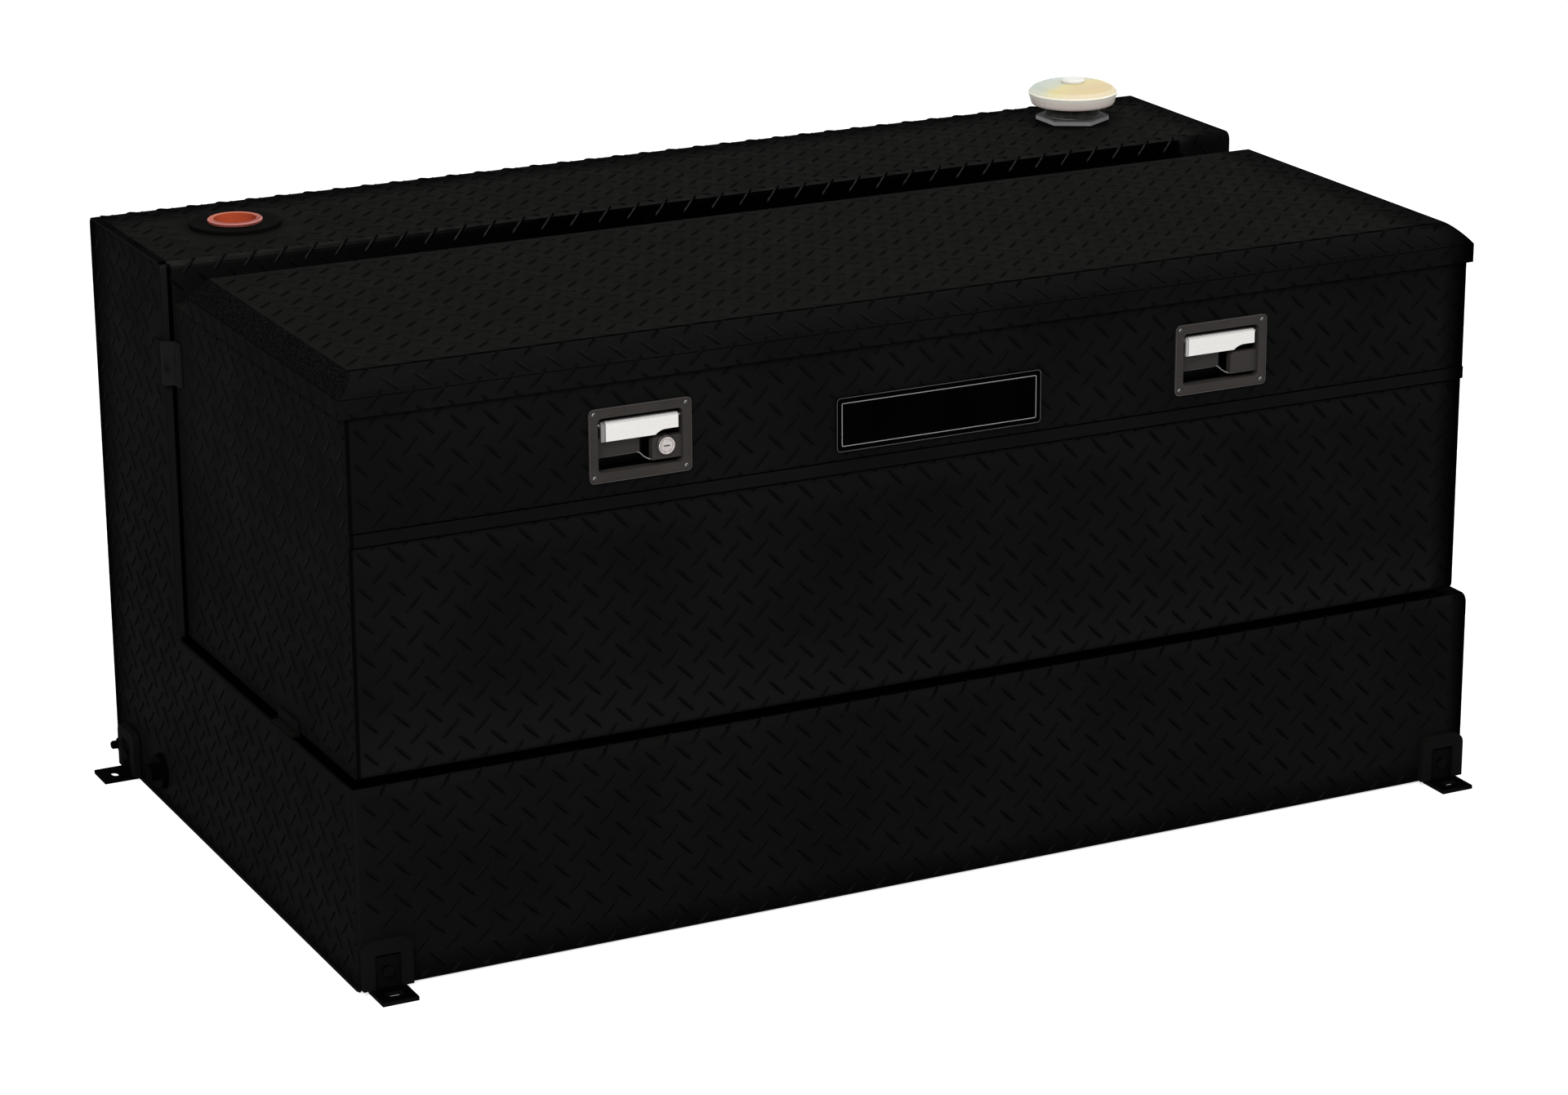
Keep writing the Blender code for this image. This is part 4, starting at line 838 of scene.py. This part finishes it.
def frameRing(name, size, corner, band, deep, centre, face):
    # a flat frame with rounded corners, standing deep proud of a face that looks along -Y
    deselect()
    bpy.ops.mesh.primitive_plane_add(size=1, location=(0, 0, 0))
    ring = bpy.context.object
    openMesh(ring)
    bpy.ops.transform.resize(value=(size[0], size[1], 1))
    bpy.ops.mesh.bevel(affect="VERTICES", offset=corner, segments=5)
    bpy.ops.mesh.select_all(action="SELECT")
    bpy.ops.mesh.inset(thickness=band)
    bpy.ops.mesh.delete(type="FACE")
    bpy.ops.mesh.select_all(action="SELECT")
    bpy.ops.mesh.extrude_region_move(TRANSFORM_OT_translate={"value": (0, 0, deep)})
    closeMesh()
    rounding = ring.modifiers.new("rounding", "BEVEL")
    rounding.width = min(band, deep) * 0.35
    rounding.segments = 2
    rounding.angle_limit = math.radians(50)
    applyAll(ring)
    ring.rotation_euler = (math.radians(90), 0, 0)
    ring.location = (centre[0], face, centre[1])
    settle(ring, name)
    smooth(ring, 40)
    return ring


def bead(name, points, radius, sides=3):
    # a thin rolled or welded bead along a line of five points or more
    deselect()
    bpy.ops.curve.primitive_nurbs_path_add(location=(0, 0, 0))
    line = bpy.context.object
    spline = line.data.splines[0]
    if len(points) > len(spline.points):
        spline.points.add(len(points) - len(spline.points))
    for spot, place in zip(spline.points, points):
        spot.co = (*place, 1)
    spline.type = "POLY"
    line.data.bevel_depth = radius
    line.data.bevel_resolution = sides
    line.data.use_fill_caps = True
    pick(line)
    bpy.ops.object.convert(target="MESH")
    piece = settle(bpy.context.object, name)
    smooth(piece, 50)
    return piece


def modelRivet(name, radius, height):
    # a low domed head with a small flat, standing on the XY plane
    head = flatDisc(14, radius)
    openMesh(head)
    for rise, shrink in ((0.35, 0.97), (0.35, 0.80), (0.22, 0.70), (0.08, 0.45)):
        raiseFace(height * rise, shrink, shrink)
    closeMesh()
    return settle(head, name)


def placedCopy(pattern, name, place, turn):
    twin = copyOf(pattern, name)
    twin.rotation_euler = [math.radians(a) for a in turn]
    twin.location = place
    return settle(twin, name)


latchTrim = {
    "spread": 0.312,
    "middle": 0.4895,
    "bezel": (0.1035, 0.071),
    "front": -0.3371,
    "proud": 0.0001,
    "rivetIn": 0.0052,
    "rivet": (0.0021, 0.0008),
    "lip": (0.0045, 0.0009, 0.0006),
    "ledge": [
        (-0.0425, -0.3276, 0.4757), (-0.008, -0.3276, 0.4757), (0.0005, -0.3276, 0.4760),
        (0.0028, -0.3280, 0.4752), (0.0055, -0.3292, 0.4722), (0.0085, -0.3310, 0.4700),
        (0.0112, -0.3330, 0.4690), (0.0135, -0.3340, 0.4688),
    ],
    "ledgeEdge": 0.00055,
    "ledgeShine": 0.00065,
}


bezelDepths = {
    "step": (-0.3365, -0.3350),
    "pitShadow": (-0.3274, -0.3266),
}


def makeBezel():
    made, tree, shader = finish("bezelEnamel", (0.030, 0.026, 0.024), 0.42, 0.0, 0.06)
    tint = blendColours(tree, mottle(tree, 30.0), (0.027, 0.024, 0.022), (0.034, 0.030, 0.028))
    depth = axisOf(tree, "Y")
    step = blendColours(tree, share(tree, depth, *bezelDepths["step"]), tint, (0.032, 0.0285, 0.0265))
    # painted shadow: past the ledge the pan is painted near black
    pitShadow = blendColours(tree, share(tree, depth, *bezelDepths["pitShadow"]), step, even(0.0005))
    paint(tree, shader, pitShadow)
    bump(tree, shader, noise(tree, 700.0, 2.0), 0.2, 0.0002)
    return made


paddleLook = {
    "half": 0.0390,
    "crease": 0.0008,
    "left": (0.0042, 0.20),
    "right": (0.0022, 0.42),
}


def makePaddle(name, centreX, strip, shade):
    # brushed plate, painted greyer on its rolled left end as painted shade, with a painted shadow line where
    # it bends
    made, tree, shader = finish(name, (0.70, 0.69, 0.66), 0.45, 0.35, 0.25)
    brushed = noise(tree, 260.0, 3.0, 0.6, (1, 1, 9))
    plate = blendColours(tree, spread(tree, brushed, 0.0, 1.0), (0.64, 0.625, 0.605), (0.71, 0.695, 0.67))
    bend = centreX - paddleLook["half"] + strip
    rolled = spread(tree, axisOf(tree, "X"), 1.0, 0.0, bend, bend + paddleLook["crease"])
    away = sizeOf(tree, mathOf(tree, "SUBTRACT", axisOf(tree, "X"), bend))
    crease = spread(tree, away, 0.6, 0.0, 0.0003, paddleLook["crease"])
    plate = blendColours(tree, rolled, plate, (shade, shade * 0.96, shade * 0.93))
    paint(tree, shader, blendColours(tree, crease, plate, grey(0.04)))
    roughen(tree, shader, brushed, 0.38, 0.55)
    bump(tree, shader, brushed, 0.06, 0.0002)
    return made


def makeRivetFinish():
    # dark heads with a glint on the slope that faces up and left
    made, tree, shader = finish("rivetHeads", grey(0.03), 0.35, 0.0, 0.2)
    lean = mathOf(tree, "SUBTRACT", axisOf(tree, "lookZ"), axisOf(tree, "lookX"))
    glint = share(tree, lean, 0.25, 0.55)
    tint = blendColours(tree, mottle(tree, 900.0), grey(0.016), grey(0.040))
    paint(tree, shader, blendColours(tree, glint, tint, grey(0.34)))
    return made


bezelFinish = makeBezel()
# the bezel's pressed lip is painted lighter than the bezel: a painted highlight on its edge
lipFinish = makeSteel("bezelLip", (0.050, 0.046, 0.044), 0.4, 0.2, (1, 1, 1), 0.15)
rivetFinish = makeRivetFinish()
ledgeHighlightSteel = makeSteel("ledgeHighlightSteel", (0.20, 0.195, 0.19), 0.35, 0.4, (1, 1, 1))


def dressLatches():
    c = latchTrim
    pattern = modelRivet("rivetPattern", *c["rivet"])
    z = c["middle"]
    face = c["front"] + c["proud"]
    halfW, halfH = [size / 2 - c["rivetIn"] for size in c["bezel"]]
    for side, sign in (("Left", -1), ("Right", 1)):
        x = sign * c["spread"]
        lip = frameRing("bezelLip" + side, c["bezel"], *c["lip"], (x, z), face)
        rides(lip, "tank", lipFinish)
        heads = []
        for i, (dx, dz) in enumerate(((-1, -1), (1, -1), (-1, 1), (1, 1))):
            place = (x + dx * halfW, face, z + dz * halfH)
            heads.append(placedCopy(pattern, "head%d" % i, place, (90, 0, 0)))
        rivets = joined(heads, "bezelRivets" + side)
        smooth(rivets, 50)
        rides(rivets, "tank", rivetFinish)
        # the pressed edge that swings down from the ledge to the lock block, painted lighter than the bezel,
        # with a brighter bead along it: painted highlight
        path = [(x + dx, y, up) for dx, y, up in c["ledge"]]
        edge = bead("ledgeEdge" + side, path, c["ledgeEdge"])
        rides(edge, "tank", lipFinish)
        shine = bead("ledgeShine" + side, path[2:-1], c["ledgeShine"])
        rides(shine, "tank", ledgeHighlightSteel)
    bpy.data.objects.remove(pattern)
    print("latches dressed")


lockDisc = {
    "radius": 0.0084,
    "teeth": 24,
    "thickness": 0.0009,
    "serration": 0.94,
    "dish": 0.0013,
    "groove": (0.0004, 0.0003),
    "slot": (0.0062, 0.0013),
    "slotDepth": 0.0006,
    "proud": 0.0001,
}


def makeLockFinish(face):
    made, tree, shader = finish("lockPlate", (0.58, 0.54, 0.53), 0.4, 0.3, 0.3)
    mottled = mottle(tree, 700.0, 3.0)
    plate = blendColours(tree, mottled, (0.54, 0.49, 0.475), (0.37, 0.34, 0.33))
    # painted shade: below its face the disc is painted dark, in the slot and grooves
    deep = share(tree, axisOf(tree, "Y"), face + 0.0001, face + 0.0003)
    paint(tree, shader, blendColours(tree, deep, plate, (0.05, 0.045, 0.045)))
    bump(tree, shader, mottled, 0.15, 0.0002)
    return made


def dressLock():
    c = lockDisc
    low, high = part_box("key_cylinder")
    centre = ((low[0] + high[0]) / 2, (low[2] + high[2]) / 2)
    face = low[1]
    disc = flatDisc(2 * c["teeth"], c["radius"])
    pick(disc)
    bpy.ops.object.mode_set(mode="EDIT")
    bpy.ops.mesh.select_mode(type="VERT")
    mesh = bmesh.from_edit_mesh(disc.data)
    mesh.verts.ensure_lookup_table()
    for vert in mesh.verts:
        vert.select = round(math.atan2(vert.co.y, vert.co.x) / math.pi * c["teeth"]) % 2 == 0
    mesh.select_flush_mode()
    bmesh.update_edit_mesh(disc.data)
    bpy.ops.transform.resize(value=(c["serration"], c["serration"], 1))
    bpy.ops.mesh.select_mode(type="FACE")
    bpy.ops.mesh.select_all(action="SELECT")
    bpy.ops.mesh.extrude_region_move(TRANSFORM_OT_translate={"value": (0, 0, c["thickness"])})
    bpy.ops.mesh.inset(thickness=c["dish"])
    band, sunk = c["groove"]
    bpy.ops.mesh.inset(thickness=band, depth=-sunk)
    bpy.ops.mesh.inset(thickness=band, depth=sunk)
    closeMesh()
    w, h = c["slot"]
    cutAway(disc, [cutterBox((-w / 2, -h / 2, c["thickness"] - c["slotDepth"]), (w / 2, h / 2, 0.01))])
    disc.rotation_euler = (math.radians(90), 0, 0)
    disc.location = (centre[0], face + c["proud"], centre[1])
    settle(disc, "lockDisc")
    smooth(disc, 30)
    rides(disc, "key", makeLockFinish(face - c["thickness"] + c["proud"]))
    print("lock dressed")


plateTrim = {
    "size": (0.220, 0.053),
    "middle": 0.4755,
    "front": -0.3373,
    "corner": 0.004,
    "outer": 0.0007,
    "inner": 0.0008,
    "gap": 0.0052,
    "innerCorner": 0.0016,
    "proud": 0.0005,
}


def makePlateFinish():
    made, tree, shader = finish("plateBlack", even(0.0006), 0.35, 0.0, 0.001)
    tint = blendColours(tree, mottle(tree, 18.0), even(0.0004), even(0.0010))
    paint(tree, shader, tint)
    roughen(tree, shader, noise(tree, 50.0), 0.3, 0.42)
    bump(tree, shader, noise(tree, 500.0, 2.0), 0.1, 0.0001)
    return made


def dressPlate():
    # two raised lines frame the plate, which is left blank
    c = plateTrim
    w, h = c["size"]
    place = ((0, c["middle"]), c["front"] + 0.0001)
    rim = frameRing("plateRim", (w - 0.0002, h - 0.0002), c["corner"], c["outer"], c["proud"], *place)
    rides(rim, "tank", makeSteel("plateRimGrey", (0.042, 0.043, 0.045), 0.4, 0.2, (1, 1, 1)))
    size = (w - 2 * c["gap"], h - 2 * c["gap"])
    line = frameRing("plateLine", size, c["innerCorner"], c["inner"], c["proud"], *place)
    rides(line, "tank", makeSteel("plateLineSilver", even(0.22), 0.4, 0.3, (1, 1, 1)))
    print("plate dressed")


welds = {
    "radius": 0.0013,
    "tankEnd": 0.6086,
    "inset": 0.0015,
    "corner": 0.006,
    "ripples": 300.0,
}


def makeWeldRipples():
    made, tree, shader = finish("weldRipples", even(0.006), 0.5, 0.0, 0.002)
    where = newNode(tree, "TexCoord")
    wave = newNode(tree, "TexWave")
    wave.bands_direction = "DIAGONAL"
    wave.inputs["Scale"].default_value = welds["ripples"]
    wave.inputs["Distortion"].default_value = 1.5
    tree.links.new(where.outputs["Object"], wave.inputs["Vector"])
    tint = blendColours(tree, wave.outputs["Fac"], even(0.0022), (0.0058, 0.0058, 0.0056))
    paint(tree, shader, tint)
    bump(tree, shader, wave.outputs["Fac"], 0.6, 0.0006)
    return made


def layWelds():
    # a bead runs round each end of the tank, in the corner between the wrap and the end sheet
    t = tankSheet
    made = makeWeldRipples()
    i = welds["inset"]
    r = welds["corner"]
    corners = [
        (t["front"] + i, i + 0.001, False), (t["back"] - i, i + 0.001, False),
        (t["back"] - i, t["top"] - i, True), (t["columnFront"] + i, t["top"] - i, True),
        (t["columnFront"] + i, t["shelf"] - i, False), (t["front"] + i, t["shelf"] - i, True),
    ]
    outline = []
    for n, (y, z, rounded) in enumerate(corners):
        if not rounded:
            outline.append((y, z))
            continue
        # rounded corners follow the wrap's bend
        before, after = corners[n - 1], corners[(n + 1) % len(corners)]
        first = Vector((before[0] - y, before[1] - z)).normalized() * r
        last = Vector((after[0] - y, after[1] - z)).normalized() * r
        spot = Vector((y, z))
        for k in range(5):
            a = k / 4 * math.pi / 2
            at = spot + first + last - first * math.sin(a) - last * math.cos(a)
            outline.append((at.x, at.y))
    for side, name in ((-1, "weldEndLeft"), (1, "weldEndRight")):
        path = [(side * welds["tankEnd"], y, z) for y, z in outline]
        rides(bead(name, path + path[:1], welds["radius"], 2), "tank", made)
    print("welds laid")


strapTrim = {
    "rivet": (0.0042, 0.0016),
    "inset": (0.010, 0.008),
}


def dressStraps():
    c = strapTrim
    pattern = modelRivet("rivetPattern", *c["rivet"])
    for side, sign in (("left", -1), ("right", 1)):
        low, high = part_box("tie_strap_" + side)
        outer = low[0] if sign < 0 else high[0]
        heads = []
        for i, y in enumerate((low[1] + c["inset"][0], high[1] - c["inset"][1])):
            place = (outer, y, (low[2] + high[2]) / 2)
            heads.append(placedCopy(pattern, "head%d" % i, place, (0, sign * 90, 0)))
        heads = joined(heads, "strapRivets" + side.capitalize())
        smooth(heads, 50)
        rides(heads, "tank", fittingFinish)
    bpy.data.objects.remove(pattern)
    print("straps dressed")


capLook = {
    "height": (0.6058, 0.6198),
    "across": (-0.118, -0.050),
    "film": [
        (0.0, (0.50, 0.56, 0.52)), (0.42, (0.52, 0.55, 0.45)), (0.68, (0.64, 0.56, 0.29)),
        (1.0, (0.62, 0.50, 0.30)),
    ],
    "rim": [
        (0.0, (0.50, 0.38, 0.33)), (0.08, (0.84, 0.74, 0.69)), (0.45, (0.94, 0.84, 0.77)),
        (0.70, (1.0, 0.96, 0.86)), (1.0, (1.0, 0.96, 0.82)),
    ],
}


def makeZincYellow():
    # yellow zinc with a blue-grey film on top; down its rim cream to pinkish, painted near white at the top
    # as a painted highlight and darker at its foot as painted shade
    c = capLook
    made, tree, shader = finish("yellowZinc", (0.70, 0.62, 0.36), 0.4, 0.0, 0.05)
    across = mathOf(tree, "ADD", times(tree, axisOf(tree, "X"), 0.35), times(tree, axisOf(tree, "Y"), -1.0))
    cloud = times(tree, noise(tree, 30.0, 2.0, 0.45), 0.020)
    film = ramp(tree, share(tree, mathOf(tree, "ADD", across, cloud), *c["across"]), c["film"])
    rim = ramp(tree, share(tree, axisOf(tree, "Z"), *c["height"]), c["rim"])
    flat = share(tree, axisOf(tree, "lookZ"), 0.55, 0.8)
    paint(tree, shader, blendColours(tree, flat, rim, film))
    roughen(tree, shader, noise(tree, 90.0), 0.28, 0.4)
    bump(tree, shader, noise(tree, 350.0, 2.0), 0.05, 0.0002)
    return made


flangeTop = (0.5932, 0.5936)


def makeNeckFinish():
    # cast fitting: lit grey on the flange's flats, dark above
    made, tree, shader = finish("castNeck", even(0.02), 0.5, 0.0, 0.05)
    mottled = mottle(tree, 120.0)
    flats = blendColours(tree, mottled, (0.040, 0.040, 0.041), (0.062, 0.062, 0.063))
    slanted = share(tree, sizeOf(tree, axisOf(tree, "lookX")), 0.3, 0.6)
    flats = blendColours(tree, slanted, flats, (0.34, 0.34, 0.35))
    neck = blendColours(tree, mottled, (0.040, 0.040, 0.038), (0.075, 0.075, 0.072))
    side = spread(tree, axisOf(tree, "lookZ"), 1.0, 0.0, 0.3, 0.7)
    low = spread(tree, axisOf(tree, "Z"), 1.0, 0.0, *flangeTop)
    paint(tree, shader, blendColours(tree, times(tree, side, low), neck, flats))
    bump(tree, shader, mottled, 0.2, 0.0004)
    return made


plugLook = {
    "centre": (-0.4905, 0.2425),
    "dish": (0.2285, 0.2645),
    "rim": (0.0262, 0.0266),
    "outside": (0.0271, 0.0276),
}


def makePlastic():
    # a shallow moulded dish, painted bright at its far side and deep red near: painted light and shade in the
    # dish; a paler pinkish rim, darker beyond it
    made, tree, shader = finish("orangePlastic", (0.62, 0.085, 0.02), 0.38, 0.0, 0.1)
    c = plugLook
    reach = reachFrom(tree, c["centre"])
    far = share(tree, axisOf(tree, "Y"), *c["dish"])
    dish = blendColours(tree, far, (0.165, 0.011, 0.0065), (0.43, 0.080, 0.031))
    dish = blendColours(tree, spread(tree, noise(tree, 90.0), 0.0, 0.12), dish, (0.66, 0.16, 0.07))
    rimmed = share(tree, reach, *c["rim"])
    paler = blendColours(tree, far, (0.54, 0.21, 0.19), (0.46, 0.11, 0.055))
    body = blendColours(tree, rimmed, dish, paler)
    outside = spread(tree, reach, 0.0, 0.8, *c["outside"])
    paint(tree, shader, blendColours(tree, outside, body, (0.12, 0.012, 0.008)))
    return made


def makeRubber():
    made, tree, shader = finish("blackRubber", even(0.006), 0.8, 0.0, 0.02)
    tint = blendColours(tree, mottle(tree, 60.0), even(0.005), even(0.009))
    paint(tree, shader, tint)
    bump(tree, shader, noise(tree, 400.0), 0.3, 0.0003)
    return made


dressLatches()
dressLock()
dressPlate()
layWelds()
dressStraps()
slotFinish = {
    "tread_sheet": treadFinish,
    "black_steel": fittingFinish,
    "blank_plate": makePlateFinish(),
    "bright_steel": makeSteel("brightSteel", (0.62, 0.61, 0.60), 0.3, 0.9, (1, 8, 1)),
    "yellow_zinc": makeZincYellow(),
    "bezel": bezelFinish,
    "orange_plastic": makePlastic(),
    "rubber": makeRubber(),
}
for part in frame["record"]["subparts"]:
    mesh = nodes[part["node"]].data
    mesh.materials.clear()
    mesh.materials.append(slotFinish[part["material_slot"]])
ownFinish = {
    "paddle_left": makePaddle("paddleSilverLeft", -latchTrim["spread"], *paddleLook["left"]),
    "paddle_right": makePaddle("paddleSilverRight", latchTrim["spread"], *paddleLook["right"]),
    "fill_neck": makeNeckFinish(),
    "pump_bung": bungShadeFinish,
    "key_cylinder": makeSteel("lockBarrel", (0.030, 0.028, 0.027), 0.4, 0.3, (1, 1, 1)),
    "lid_pan": lidFinish,
    "tie_strap_left": strapFinish,
    "tie_strap_right": strapFinish,
    "vent_button": makeSteel("buttonWhite", (0.74, 0.73, 0.69), 0.5, 0.0, (1, 1, 1), 0.1),
}
for where in ("front_left", "front_right", "rear_left", "rear_right"):
    ownFinish["foot_bolt_" + where] = footFinish
    ownFinish["tie_down_foot_" + where] = footFinish
# painted shade on the fittings at the left rear foot
for name in ("bonding_stud", "drain_bung", "drain_plug"):
    ownFinish[name] = drainShadeFinish
for name, made in ownFinish.items():
    nodes[name].data.materials[0] = made


studio = {
    "floorSize": 14.0,
    "floorLevel": -0.0005,
    "floorGlow": 0.70,
    "floorColour": even(0.82),
    "key": ((-2.6, -3.0, 3.4), 2.4, 150.0),
    "top": ((0.6, 0.2, 3.6), 3.2, 60.0),
    "side": ((3.2, -1.6, 2.2), 2.0, 40.0),
    "aim": (0, 0, 0.3),
    "worldFill": 0.30,
}


def seenDirectly(tree):
    # 1 for camera, glossy and transmitted rays
    path = newNode(tree, "LightPath")
    kinds = ("Camera", "Glossy", "Transmission")
    camera, glossy, through = [path.outputs["Is %s Ray" % kind] for kind in kinds]
    return mathOf(tree, "MAXIMUM", mathOf(tree, "MAXIMUM", camera, glossy), through)


def makeFloor():
    deselect()
    bpy.ops.mesh.primitive_plane_add(size=studio["floorSize"], location=(0, 0, studio["floorLevel"]))
    floor = settle(bpy.context.object, "studioFloor")
    made = bpy.data.materials.new("paleFloor")
    made.use_nodes = True
    tree = made.node_tree
    tree.nodes.clear()
    out = newNode(tree, "OutputMaterial")
    matt = newNode(tree, "BsdfDiffuse")
    matt.inputs["Color"].default_value = (*studio["floorColour"], 1)
    glow = newNode(tree, "Emission")
    tree.links.new(times(tree, seenDirectly(tree), studio["floorGlow"]), glow.inputs["Strength"])
    both = newNode(tree, "AddShader")
    tree.links.new(matt.outputs[0], both.inputs[0])
    tree.links.new(glow.outputs[0], both.inputs[1])
    tree.links.new(both.outputs[0], out.inputs["Surface"])
    floor.data.materials.append(made)


def makeWorld():
    world = bpy.data.worlds.new("studioWorld")
    scene.world = world
    world.use_nodes = True
    tree = world.node_tree
    backdrop = tree.nodes["Background"]
    backdrop.inputs["Color"].default_value = (1, 1, 1, 1)
    level = spread(tree, seenDirectly(tree), studio["worldFill"], 1.0, 0.0, 1.0)
    tree.links.new(level, backdrop.inputs["Strength"])


def makeLamps():
    for name in ("key", "top", "side"):
        spot, size, power = studio[name]
        light = bpy.data.lights.new(name + "Lamp", "AREA")
        light.shape = "SQUARE"
        light.size = size
        light.energy = power
        lamp = bpy.data.objects.new(name + "Lamp", light)
        lamp.location = spot
        lamp.rotation_euler = (Vector(studio["aim"]) - Vector(spot)).to_track_quat("-Z", "Y").to_euler()
        scene.collection.objects.link(lamp)


photoCamera = {
    "sensor": 36.0,
    "lens": 102.77,
    "clip": 60.0,
    "place": (-1.9477, -3.917, 1.6694),
    "turn": (71.922, 0.344, -26.573),
}


def makeCamera():
    c = photoCamera
    lens = bpy.data.cameras.new("photoCamera")
    lens.sensor_fit = "HORIZONTAL"
    lens.sensor_width = c["sensor"]
    lens.lens = c["lens"]
    lens.clip_end = c["clip"]
    camera = bpy.data.objects.new("photoCamera", lens)
    camera.location = c["place"]
    camera.rotation_euler = [math.radians(a) for a in c["turn"]]
    scene.collection.objects.link(camera)
    scene.camera = camera


makeFloor()
makeWorld()
makeLamps()
makeCamera()
scene.view_settings.view_transform = "Standard"
print("studio made")
